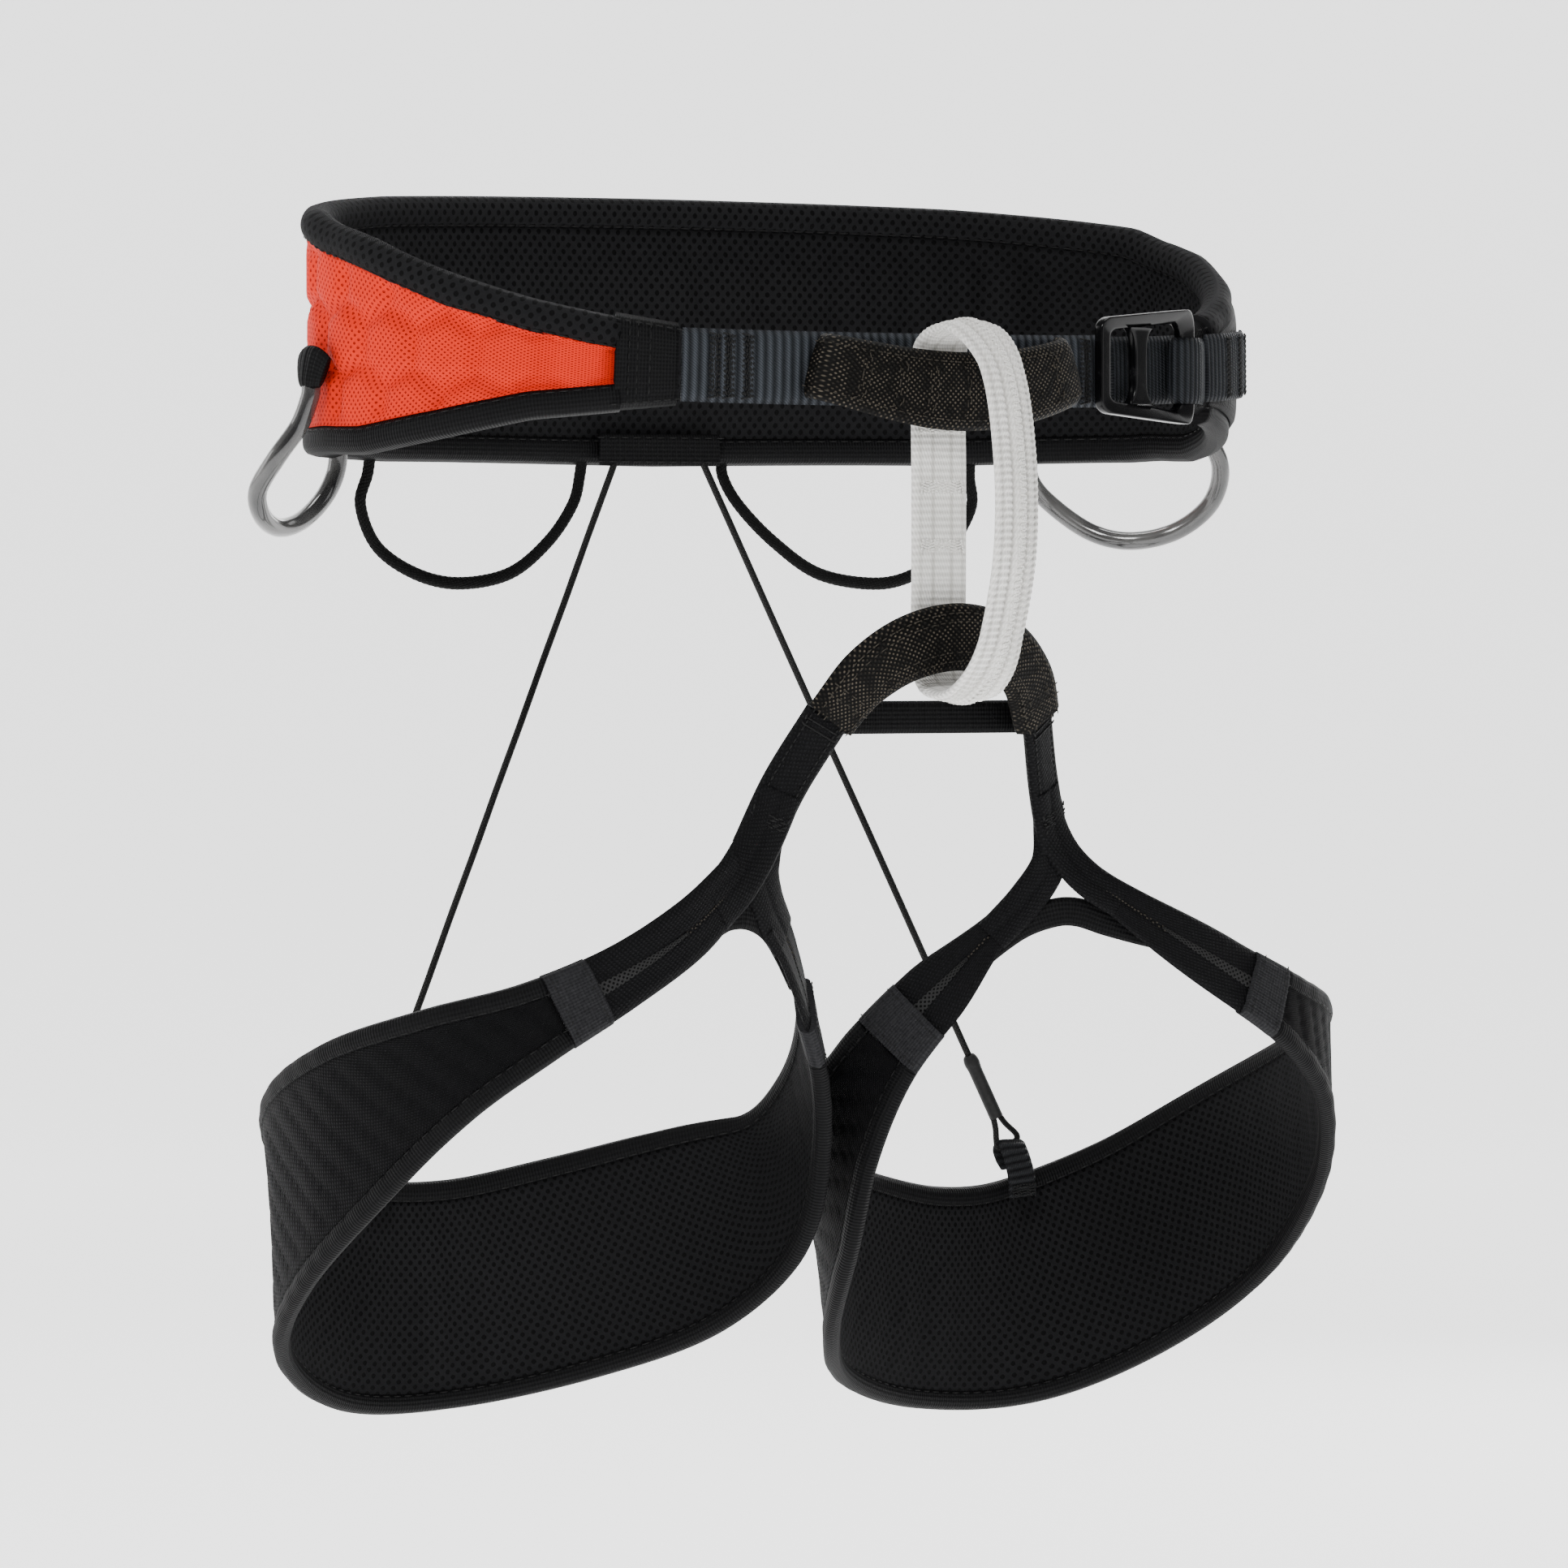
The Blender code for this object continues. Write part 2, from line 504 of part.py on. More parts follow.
# ---------------------------------------------------------------- gear loops
def make_gear_loops(side, name):
    front, rear = FRONT_GEAR_LEFT if side > 0 else FRONT_GEAR_RIGHT, mirrored(REAR_GEAR, side)
    sideways = (0.76 * side, 0.65, 0)
    pipe("gear_loop_front_" + name, front, TUBE_DIAMETER, TUBE_WALL, 20, "grey_tube", front[0], sideways)
    rod("gear_core_front_" + name, front, CORD_DIAMETER, 20, "cord", front[0])
    rod("gear_loop_rear_" + name, rear, REAR_LOOP_DIAMETER, 28, "cord", rear[0])
    length, high, thick = GEAR_TAB
    x, y, z = front[0]
    face = BELT_HALF_WIDTH + BELT_THICKNESS / 2 + GAP + thick / 2
    path = [(side * face, y + side * step * length / 2, z + TAB_CLEARANCE + high / 2) for step in (-1, 0, 1)]
    strap("gear_tab_" + name, path, (side, 0, 0), -high / 2, high / 2, -thick / 2, thick / 2, "binding")


remove_everything()
make_waist_belt()
make_front()
make_buckle()
make_belay_loop()
make_leg_bridge()
make_riser_anchor()
for side, name in ((1, "left"), (-1, "right")):
    make_leg_loop(side, name)
    make_riser(side, name)
    make_gear_loops(side, name)
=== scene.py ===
import math

import bpy
import numpy as np
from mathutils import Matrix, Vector


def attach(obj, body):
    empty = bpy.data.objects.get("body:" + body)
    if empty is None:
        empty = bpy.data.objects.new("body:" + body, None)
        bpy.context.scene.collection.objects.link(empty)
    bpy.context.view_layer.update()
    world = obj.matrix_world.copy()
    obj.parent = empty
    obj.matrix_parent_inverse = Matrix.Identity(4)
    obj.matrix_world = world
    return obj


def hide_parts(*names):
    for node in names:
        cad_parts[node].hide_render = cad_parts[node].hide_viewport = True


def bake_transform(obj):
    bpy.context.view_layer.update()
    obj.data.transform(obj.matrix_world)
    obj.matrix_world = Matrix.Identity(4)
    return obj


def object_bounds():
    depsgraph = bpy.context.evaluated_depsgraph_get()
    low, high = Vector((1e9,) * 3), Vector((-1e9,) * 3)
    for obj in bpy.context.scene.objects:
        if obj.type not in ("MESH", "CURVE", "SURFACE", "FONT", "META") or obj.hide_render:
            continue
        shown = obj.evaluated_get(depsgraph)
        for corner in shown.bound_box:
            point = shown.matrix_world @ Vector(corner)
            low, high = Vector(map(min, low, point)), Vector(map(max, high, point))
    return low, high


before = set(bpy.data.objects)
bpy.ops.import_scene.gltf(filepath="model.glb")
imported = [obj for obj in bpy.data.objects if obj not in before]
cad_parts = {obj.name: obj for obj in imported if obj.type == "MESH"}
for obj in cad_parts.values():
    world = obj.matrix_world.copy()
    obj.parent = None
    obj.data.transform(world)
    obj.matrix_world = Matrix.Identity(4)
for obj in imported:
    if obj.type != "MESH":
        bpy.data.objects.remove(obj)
cad_low, cad_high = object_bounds()


# ---- Studio -----------------------------------------------------------------------------------
# A pale sweep of paper that runs from under the harness up behind it, two large soft lights in
# front, one from each side behind for the rims, and a long lens at the height of the leg loops.
VIEW_AZIMUTH, VIEW_ELEVATION = math.radians(-33), math.radians(1.0)
VIEW_DISTANCE = 3.0
VIEW_SCALE = 2.27743                      # how wide one metre is, as a share of the frame's width
AIM = Vector((0.005, -0.003, -0.123))
HANG_HEIGHT = 0.12                         # the harness hangs this far above the paper
FLOOR_LEVEL = cad_low.z - HANG_HEIGHT

lens_back = Vector((math.sin(VIEW_AZIMUTH) * math.cos(VIEW_ELEVATION),
                    -math.cos(VIEW_AZIMUTH) * math.cos(VIEW_ELEVATION), math.sin(VIEW_ELEVATION)))
camera_data = bpy.data.cameras.new("camera")
camera_data.lens = camera_data.sensor_width * VIEW_SCALE * VIEW_DISTANCE
camera = bpy.data.objects.new("camera", camera_data)
camera.location = AIM + lens_back * VIEW_DISTANCE
camera.rotation_euler = lens_back.to_track_quat("Z", "Y").to_euler()
bpy.context.collection.objects.link(camera)
bpy.context.scene.camera = camera


def soft_light(name, place, size, power):
    """A square lamp that shines at the middle of the harness."""
    data = bpy.data.lights.new(name, "AREA")
    data.size, data.energy = size, power
    lamp = bpy.data.objects.new(name, data)
    lamp.location = place
    lamp.rotation_euler = (Vector(place) - AIM).to_track_quat("Z", "Y").to_euler()
    bpy.context.collection.objects.link(lamp)


soft_light("key_light", (-1.5, -1.3, 1.4), 0.7, 46)
soft_light("fill_light", (1.3, -1.9, 0.5), 1.4, 9)
soft_light("top_light", (0.1, 0.2, 1.8), 0.8, 20)
soft_light("left_rim_light", (-1.5, 1.2, 0.4), 0.9, 10)
soft_light("right_rim_light", (1.6, 1.0, 0.4), 0.9, 10)

world = bpy.data.worlds.new("studio")
world.use_nodes = True
world.node_tree.nodes["Background"].inputs["Color"].default_value = (1, 1, 1, 1)
world.node_tree.nodes["Background"].inputs["Strength"].default_value = 0.22
bpy.context.scene.world = world


def make_sweep():
    """The floor and the wall behind are one bent sheet, seen from its smooth side."""
    bend, front, reach, height, half = 1.6, 7.0, 5.2, 7.0, 9.0
    profile = [(-front, 0.0), (reach - bend, 0.0)]
    profile += [(reach - bend + bend * math.sin(a), bend - bend * math.cos(a))
                for a in np.linspace(0, math.pi / 2, 24)]
    profile.append((reach, height))
    away = -np.array((lens_back.x, lens_back.y)) / math.hypot(lens_back.x, lens_back.y)
    side = np.array((away[1], -away[0]))
    points = [(*(away * d + side * s), FLOOR_LEVEL + z) for d, z in profile for s in (-half, half)]
    faces = [(i, i + 1, i + 3, i + 2) for i in range(0, len(points) - 2, 2)]
    mesh = bpy.data.meshes.new("sweep")
    mesh.from_pydata(points, [], faces)
    mesh.shade_smooth()
    paper = bpy.data.materials.new("pale_paper")
    paper.use_nodes = True
    for socket, value in (("Base Color", (0.97, 0.97, 0.97, 1)), ("Emission Color", (1, 1, 1, 1)),
                          ("Emission Strength", 1.5), ("Roughness", 0.95)):
        paper.node_tree.nodes["Principled BSDF"].inputs[socket].default_value = value
    mesh.materials.append(paper)
    sweep = bpy.data.objects.new("sweep", mesh)
    bpy.context.collection.objects.link(sweep)


make_sweep()


# ---- Elastic rear risers ----------------------------------------------------------------------
# Two thin braided elastic cords that hold the leg loops up behind. Each runs from the belt's lower
# back into a shrink sleeve, whose small end loop is hitched round the tab on the leg loop.
RISER_TOP = (0.016, 0.0544, -0.035)
RISER_END = (0.104, 0.037, -0.2165)
RISER_DIAMETER = 0.002
SLEEVE_DIAMETER = 0.0034
SLEEVE_LENGTH = 0.020
END_LOOP_LENGTH = 0.008
HITCH_DIAMETER = 0.0018
HITCH = ((0.7, -1), (1.9, 3), (3.4, 6.4), (3.7, 7.8), (3, 8.8), (0, 9), (-3, 8.8), (-3.7, 7.8), (-3.4, 6.4),
         (-1.9, 3), (-0.7, -1))          # the end loop in millimetres: sideways, and down from the sleeve
RISER_TUCK = 0.022                       # share of the cord's length that runs up under the anchor
JUNCTION = (0.050, -0.071, -0.1425)
LEG_DROP = 0.007 / 0.127                 # how much lower the left loop hangs, per metre below its junction
SIDES = ((1, "left"), (-1, "right"))
MILLIMETRE = 0.001
UP = np.array((0, 0, 1.0))


class Wire:
    """A node's output, which adds Math nodes when it is used in an expression."""

    def __init__(self, finish, socket):
        self.finish, self.socket = finish, socket

    def step(self, operation, other=0.0, flipped=False):
        first, second = (other, self) if flipped else (self, other)
        return self.finish.node("ShaderNodeMath", {"operation": operation}, {0: first, 1: second})

    def __add__(self, other):
        return self.step("ADD", other)

    def __sub__(self, other):
        return self.step("SUBTRACT", other)

    def __mul__(self, other):
        return self.step("MULTIPLY", other)

    def __rsub__(self, other):
        return self.step("SUBTRACT", other, flipped=True)

    __radd__, __rmul__ = __add__, __mul__

    def wave(self, pitch):
        """A sine of this length, from 0 to 1, that repeats every pitch metres."""
        return (self * (2 * math.pi / pitch)).step("SINE") * 0.5 + 0.5

    def between(self, low, high):
        """0 below low and 1 above high, with a soft change between them."""
        return self.finish.node("ShaderNodeMapRange", {"interpolation_type": "SMOOTHSTEP"},
                                {"Value": self, "From Min": low, "From Max": high})


class Finish:
    """A material under construction: a Principled shader and whatever drives its colour and bump."""

    def __init__(self, name, roughness=0.7, **fixed):
        self.material = bpy.data.materials.new(name)
        self.material.use_nodes = True
        self.tree = self.material.node_tree
        self.shader = self.tree.nodes["Principled BSDF"]
        for socket, value in {"Roughness": roughness, "Specular IOR Level": 0.08, **fixed}.items():
            self.shader.inputs[socket.replace("_", " ")].default_value = value

    def node(self, kind, settings, sockets, output=0):
        made = self.tree.nodes.new(kind)
        for key, value in settings.items():
            setattr(made, key, value)
        for key, value in sockets.items():
            if isinstance(value, Wire):
                self.tree.links.new(value.socket, made.inputs[key])
            else:
                made.inputs[key].default_value = value
        return Wire(self, made.outputs[output])

    def place(self, source):
        return self.node("ShaderNodeTexCoord", {}, {}, source)

    def axes(self):
        """Distances along and across a strap, in metres."""
        parts = self.node("ShaderNodeSeparateXYZ", {}, {0: self.place("UV")})
        return [Wire(self, parts.socket.node.outputs[k]) for k in range(2)]

    def noise(self, scale, detail=2.0):
        return self.node("ShaderNodeTexNoise", {}, {"Vector": self.place("Object"), "Scale": scale,
                                                    "Detail": detail})

    def blend(self, share, first, second):
        """A colour between two, by a share from 0 to 1."""
        colours = {key: value if isinstance(value, Wire) else (*value, 1.0)
                   for key, value in ((6, first), (7, second))}
        return self.node("ShaderNodeMix", {"data_type": "RGBA"}, {0: share, **colours}, 2)

    def feed(self, socket, wire):
        self.tree.links.new(wire.socket, self.shader.inputs[socket])

    def done(self, colour, height=None, depth=0.0, roughness=None):
        """The finished material: its colour, and a bump of this depth in metres."""
        self.feed("Base Color", colour)
        if height is not None:
            self.feed("Normal", self.node("ShaderNodeBump", {}, {"Height": height, "Distance": depth}))
        if roughness is not None:
            self.feed("Roughness", roughness)
        return self.material


def unit(vectors):
    return vectors / np.linalg.norm(vectors, axis=-1, keepdims=True)


def through(points, count, closed=False):
    """A smooth Catmull-Rom curve through the points, read at equal steps of its length."""
    points = np.array(points, dtype=float)
    if closed:
        ends = np.vstack([points[-1], points, points[0], points[1]])
    else:
        ends = np.vstack([2 * points[0] - points[1], points, 2 * points[-1] - points[-2]])
    fine = []
    for a, b, c, d in zip(ends, ends[1:], ends[2:], ends[3:]):
        for t in np.linspace(0, 1, 24, endpoint=False):
            fine.append(0.5 * (2 * b + (c - a) * t + (2 * a - 5 * b + 4 * c - d) * t * t
                               + (3 * b - a - 3 * c + d) * t ** 3))
    fine.append(points[0] if closed else points[-1])
    fine = np.array(fine)
    steps = np.linalg.norm(np.diff(fine[:, :3], axis=0), axis=1)
    along = np.concatenate([[0], np.cumsum(steps)])
    wanted = np.linspace(0, along[-1], count + 1 if closed else count)
    read = np.array([np.interp(wanted, along, fine[:, k]) for k in range(fine.shape[1])]).T
    return read[:-1] if closed else read


def headings(path, closed=False):
    """The direction in which a path runs at each station."""
    if closed:
        return unit(np.roll(path, -1, axis=0) - np.roll(path, 1, axis=0))
    return unit(np.gradient(path, axis=0))


def shares(stations):
    """How far along each station is, from 0 at the first to 1 at the last."""
    return np.linspace(0, 1, len(stations))


def directions(path, outward, closed=False):
    """Outward and across directions of a strap, each a unit vector at each station."""
    along = headings(path, closed)
    outward = np.broadcast_to(np.array(outward, dtype=float), path.shape)
    outward = unit(outward - np.sum(outward * along, axis=1, keepdims=True) * along)
    return outward, np.cross(outward, along)


def lengths_along(path, closed=False):
    steps = np.linalg.norm(np.diff(path, axis=0), axis=1)
    if closed:
        steps = np.append(steps, np.linalg.norm(path[0] - path[-1]))
    return np.concatenate([[0], np.cumsum(steps)])


def skin(name, rings, material, along, across, closed=False):
    """Closed mesh over equal rings of points, with a UV map that holds metres along and across."""
    count, sides = len(rings), len(rings[0])
    vertices = np.array(rings).reshape(-1, 3)
    quads, maps = [], []
    for i in range(count if closed else count - 1):
        j = (i + 1) % count
        for k in range(sides):
            m = (k + 1) % sides
            quads.append((i * sides + k, j * sides + k, j * sides + m, i * sides + m))
            maps += [(along[i], across[k]), (along[i + 1], across[k]),
                     (along[i + 1], across[m]), (along[i], across[m])]
    if not closed:
        for ring, order in ((0, range(sides)), (count - 1, range(sides)[::-1])):
            quads.append(tuple(ring * sides + k for k in order))
            maps += [(along[ring], across[k]) for k in order]
    mesh = bpy.data.meshes.new(name)
    mesh.from_pydata(vertices.tolist(), [], quads)
    layer = mesh.uv_layers.new(name="UVMap")
    layer.data.foreach_set("uv", np.array(maps, dtype=np.float32).ravel())
    mesh.materials.append(material)
    mesh.shade_smooth()
    if signed_volume(mesh) < 0:
        mesh.flip_normals()
    return placed(name, mesh)


def placed(name, mesh):
    piece = bpy.data.objects.new(name, mesh)
    bpy.context.collection.objects.link(piece)
    return piece


def signed_volume(mesh):
    mesh.calc_loop_triangles()
    places = np.empty(len(mesh.vertices) * 3)
    mesh.vertices.foreach_get("co", places)
    places = places.reshape(-1, 3)
    corners = np.empty(len(mesh.loop_triangles) * 3, dtype=np.int32)
    mesh.loop_triangles.foreach_get("vertices", corners)
    a, b, c = (places[corners.reshape(-1, 3)[:, k]] for k in range(3))
    return float(np.sum(a * np.cross(b, c)))


def tube(name, path, diameter, material, outward=(0.3, -1.0, 0.2), sides=12, closed=False, relief=None):
    """A round cord along a path; relief gives how far its surface stands out at (length, angle)."""
    path = np.array(path)
    out, across = directions(path, outward, closed)
    along = lengths_along(path, closed)
    angles = np.linspace(0, 2 * math.pi, sides, endpoint=False)
    rings = []
    for p, o, a, u in zip(path, out, across, along):
        radius = diameter / 2 + (relief(u, angles) if relief else np.zeros(sides))
        rings.append(p + o * (radius * np.cos(angles))[:, None] + a * (radius * np.sin(angles))[:, None])
    return skin(name, rings, material, along, angles * diameter / 2, closed)


def finished(piece, body, nodes=(), blend=None):
    """Hides the CAD nodes a piece stands for, then hangs the piece on its body, or bakes its place into its
    mesh when it spans two.
    """
    if nodes:
        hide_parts(*nodes)
    if blend:
        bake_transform(piece)
    else:
        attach(piece, body)
    return piece


def braided_cord():
    """Fine crossed yarns, near black, with a dull sheen."""
    finish = Finish("braided_elastic", 0.6)
    u, v = finish.axes()
    crossed = (u + v * 1.2).wave(0.0011) * (u - v * 1.2).wave(0.0011)
    colour = finish.blend(crossed, (0.006, 0.006, 0.006), (0.03, 0.029, 0.028))
    return finish.done(colour, crossed, 0.0002)


def shrink_sleeve():
    finish = Finish("shrink_sleeve", 0.45)
    grain = finish.noise(900)
    return finish.done(finish.blend(grain, (0.008, 0.008, 0.008), (0.022, 0.022, 0.022)), grain, 0.00008)


def dropped(point, side):
    """The left leg loop hangs lower the further it is below its junction."""
    x, y, z = point
    return np.array((side * x, y, z - (LEG_DROP * max(JUNCTION[2] - z, 0) if side > 0 else 0)))


CORD_FINISH, SLEEVE_FINISH = braided_cord(), shrink_sleeve()
for side, name in SIDES:
    top = np.array((side * RISER_TOP[0], *RISER_TOP[1:]))
    end = dropped(RISER_END, side)
    down = unit(end - top)
    sleeve_top = end - down * SLEEVE_LENGTH
    riser, riser_end = "riser_" + name, "riser_end_" + name
    cord_path = np.array([top + (sleeve_top - top) * s for s in np.linspace(-RISER_TUCK, 1, 160)])
    cord = tube("elastic_riser_" + name, cord_path, RISER_DIAMETER, CORD_FINISH, sides=10,
                relief=lambda u, a: 0.00005 * np.sin(u * 5200 + 3 * a))
    finished(cord, riser, ("riser_cord_" + name,), (riser, riser_end, tuple(top), tuple(sleeve_top)))
    share = np.linspace(0, 1, 40)
    path = np.array([sleeve_top + (end - sleeve_top) * s for s in share])
    swell = 0.0003 + 0.0003 * np.exp(-((share - 0.12) / 0.07) ** 2) - 0.0006 * np.exp(-share / 0.02)
    sleeve = tube("shrink_sleeve_" + name, path, SLEEVE_DIAMETER, SLEEVE_FINISH,
                  relief=lambda u, a: np.interp(u, share * SLEEVE_LENGTH, swell) + 0 * a)
    finished(sleeve, riser_end, ("riser_sleeve_" + name,))
    sideways = unit(np.cross(down, (0, 1, 0)))
    hoop = through([end + (sideways * a + down * b) * MILLIMETRE for a, b in HITCH], 90, closed=True)
    loop = tube("riser_loop_" + name, hoop, HITCH_DIAMETER, CORD_FINISH, np.cross(down, sideways), 8, True)
    finished(loop, riser_end, ("riser_end_loop_" + name,))


# ---- Waist pad --------------------------------------------------------------------------------
# A foam strip cut to the wing's outline, laminated with orange knit outside, its honeycomb pressed
# in with the foam, and black diamond mesh inside. It swells a little between its bound edges.
BELT_HALF_WIDTH = 0.1375
BELT_FRONT_DEPTH, BELT_BACK_DEPTH = 0.083, 0.060
BELT_SQUARENESS = 2.4
BELT_RISE = 0.105                        # how far the belt climbs per metre towards the back
BELT_THICKNESS = 0.008
TOP_ROLL, BOTTOM_BINDING = 0.0095, 0.0085
WING_FROM, WING_TO = 47.0, 322.5         # degrees round from the front
WING_HEIGHTS = ((37, 0.012, -0.0135), (51, 0.016, -0.017), (67, 0.022, -0.024), (83, 0.029, -0.0305),
                (100, 0.034, -0.0335), (140, 0.036, -0.038), (180, 0.0363, -0.0399))
CELL = 0.0185                            # a honeycomb cell, flat to flat
CELL_RELIEF = 0.0027
KNIT_PITCH = 0.0018                      # from one hole of the outer knit to the next
PAD_STEP = 0.0019                        # mesh size of a finished pad
SIM_STEP = 0.0045                        # mesh size while it is blown up
EDGE_TUCK = 0.0008                       # a pad's face runs this far in under its binding
WING_FOAM, WING_FACE, WING_SWELL = 0.006, 0.0026, 0.0026


def belt_point(degrees):
    """A point on the belt's middle surface and the outward direction there."""
    angle = math.radians(degrees)
    s, c = math.sin(angle), math.cos(angle)
    depth = BELT_FRONT_DEPTH if c > 0 else BELT_BACK_DEPTH
    power, lean = 2 / BELT_SQUARENESS, BELT_SQUARENESS - 1
    x = BELT_HALF_WIDTH * math.copysign(abs(s) ** power, s)
    y = -depth * math.copysign(abs(c) ** power, c)
    outward = (math.copysign((abs(x) / BELT_HALF_WIDTH) ** lean, x) / BELT_HALF_WIDTH,
               math.copysign((abs(y) / depth) ** lean, y) / depth, 0.0)
    return np.array((x, y, BELT_RISE * y)), unit(np.array(outward))


def belt_path(start, end, step):
    """Equal steps along the belt between two angles: places, outward directions and angles."""
    turns = np.linspace(start, end, 600)
    along = lengths_along(np.array([belt_point(a)[0] for a in turns]))
    angles = np.interp(np.linspace(0, along[-1], int(along[-1] / step) + 2), along, turns)
    read = [belt_point(a) for a in angles]
    return np.array([r[0] for r in read]), np.array([r[1] for r in read]), angles


def wing_height(angles):
    table = np.array(WING_HEIGHTS)
    from_front = np.minimum(angles, 360 - angles)
    return [np.interp(from_front, table[:, 0], table[:, k]) for k in (1, 2)]


def pad_edges(angles):
    """The lower and upper edges of the wing's faces, just inside the bindings."""
    top, bottom = wing_height(angles)
    return bottom + BOTTOM_BINDING - EDGE_TUCK, top - TOP_ROLL + EDGE_TUCK


def stretched_grid(grid, rows, columns):
    """A grid of values read again at another number of rows and columns."""
    first = np.linspace(0, 1, grid.shape[0])
    half_way = np.array([np.interp(np.linspace(0, 1, rows), first, grid[:, k])
                         for k in range(grid.shape[1])]).T
    second = np.linspace(0, 1, grid.shape[1])
    return np.array([np.interp(np.linspace(0, 1, columns), second, row) for row in half_way])


def blown_up(path, outward, across, low, high, thickness, cap):
    """Swells a thin pad with cloth pressure; returns how far each side has moved out."""
    rows = len(path)
    columns = max(int((high - low).max() / SIM_STEP), 6) + 1
    share = np.linspace(0, 1, columns)
    reach = low[:, None] + (high - low)[:, None] * share
    middle = path[:, None] + across[:, None] * reach[:, :, None]
    half = thickness / 2
    faces, points = [], []
    for direction in (1, -1):
        start = len(points)
        points += (middle + outward[:, None] * half * direction).reshape(-1, 3).tolist()
        for i in range(rows - 1):
            for k in range(columns - 1):
                a = start + i * columns + k
                quad = (a, a + columns, a + columns + 1, a + 1)
                faces.append(quad if direction > 0 else quad[::-1])
    back = rows * columns
    edge = ([i * columns for i in range(rows)] + [(rows - 1) * columns + k for k in range(1, columns)]
            + [i * columns + columns - 1 for i in range(rows - 2, -1, -1)] + list(range(columns - 2, 0, -1)))
    for a, b in zip(edge, edge[1:] + edge[:1]):
        faces.append((a, a + back, b + back, b))
    mesh = bpy.data.meshes.new("pad_under_pressure")
    mesh.from_pydata(points, [], faces)
    if signed_volume(mesh) < 0:
        mesh.flip_normals()
    pad = placed("pad_under_pressure", mesh)
    held = pad.vertex_groups.new(name="bound_edges")
    held.add(edge + [back + k for k in edge], 1.0, "REPLACE")
    cloth = pad.modifiers.new("cloth", "CLOTH")
    cloth.settings.quality = 6
    cloth.settings.use_pressure = True
    cloth.settings.uniform_pressure_force = 4.0
    cloth.settings.vertex_group_mass = "bound_edges"
    cloth.settings.effector_weights.gravity = 0
    cloth.settings.tension_stiffness = cloth.settings.compression_stiffness = 20
    for frame_number in range(1, 21):
        bpy.context.scene.frame_set(frame_number)
    settled = pad.evaluated_get(bpy.context.evaluated_depsgraph_get()).to_mesh()
    places = np.empty(len(settled.vertices) * 3)
    settled.vertices.foreach_get("co", places)
    moved = places.reshape(-1, 3) - np.array(points)
    bpy.data.objects.remove(pad, do_unlink=True)
    bpy.context.scene.frame_set(1)
    sides = moved.reshape(2, rows, columns, 3)
    rises = [np.clip(np.sum(sides[k] * outward[:, None] * (1, -1)[k], axis=2), 0, None) for k in (0, 1)]
    return [cap * rise / max(rise.max(), 1e-6) for rise in rises]


def pad_half(name, path, outward, across, low, high, inner, outer, rise, material, relief=None):
    """One face of a pad as a closed slab: its outside swells and is pressed with a pattern."""
    rows = len(path)
    columns = int((high - low).max() / PAD_STEP) + 2
    share = np.linspace(0, 1, columns)
    swell = stretched_grid(rise, rows, columns)
    along = lengths_along(path)
    edge_drop = np.minimum(1, np.minimum(share, 1 - share) * columns / 3.0)
    rings = []
    for i in range(rows):
        reach = low[i] + (high[i] - low[i]) * share
        height = outer + (swell[i] - (0 if relief is None else relief(along[i], reach))) * edge_drop
        top = path[i] + across[i] * reach[:, None] + outward[i] * height[:, None]
        base = path[i] + across[i] * reach[::-1, None] + outward[i] * inner
        rings.append(np.vstack([top, base]))
    spread = low.min() + (high.max() - low.min()) * share
    return skin(name, rings, material, along, np.concatenate([spread, spread[::-1]]))


def honeycomb(u, v):
    """How deep the pressed lines between the cells are at a place on the wing, from 0 to 1."""
    spots = [(u, v), (u + CELL * 0.5, v + CELL * math.sqrt(3) / 2)]
    near = []
    for a, b in spots:
        x = np.mod(a, CELL) - CELL / 2
        y = np.mod(b, CELL * math.sqrt(3)) - CELL * math.sqrt(3) / 2
        x, y = np.abs(x + 0 * y), np.abs(y + 0 * x)
        near.append(np.maximum(x, x / 2 + y * math.sqrt(3) / 2))
    inside = np.minimum(*near) / (CELL / 2)
    return np.clip((inside - 0.55) / 0.45, 0, 1) ** 1.6


def orange_knit():
    """Fine net knit with small dark holes, and soft darker blotches about a cell across: painted shade of the
    pressed cells.
    """
    finish = Finish("orange_knit", 0.72)
    u, v = finish.axes()
    net = (u + v * 0.6).wave(KNIT_PITCH) * (u - v * 0.6).wave(KNIT_PITCH)
    holes = net.between(0.45, 0.9)
    # the noise term darkens soft blotches about a cell across: painted shade of the pressed cells
    share = 1.0 - holes * 0.62 - finish.noise(45, 3) * 0.22
    colour = finish.blend(share, (0.12, 0.0012, 0.0008), (0.66, 0.0175, 0.0035))
    return finish.done(colour, 1.0 - holes, 0.0004, net * 0.15 + 0.62)


def black_diamond_mesh(name, cell=0.0034, light=(0.0165, 0.0165, 0.0180)):
    """Open spacer mesh: a net of black yarn with small dark openings and lighter yarns, partly the yarn's own
    grey and partly painted glints.
    """
    finish = Finish(name, 0.75)
    u, v = finish.axes()
    net = (u + v * 0.9).wave(cell) * (u - v * 0.9).wave(cell)
    yarn = (u + v * 3.0).wave(0.0007)
    opening = net.between(0.3, 0.5)
    # the lighter yarn colour is partly the yarn's own grey and partly painted glints
    share = (1 - opening) * (yarn * 0.6 + 0.4)
    return finish.done(finish.blend(share, (0.0003, 0.0003, 0.0004), light), share, 0.0004)


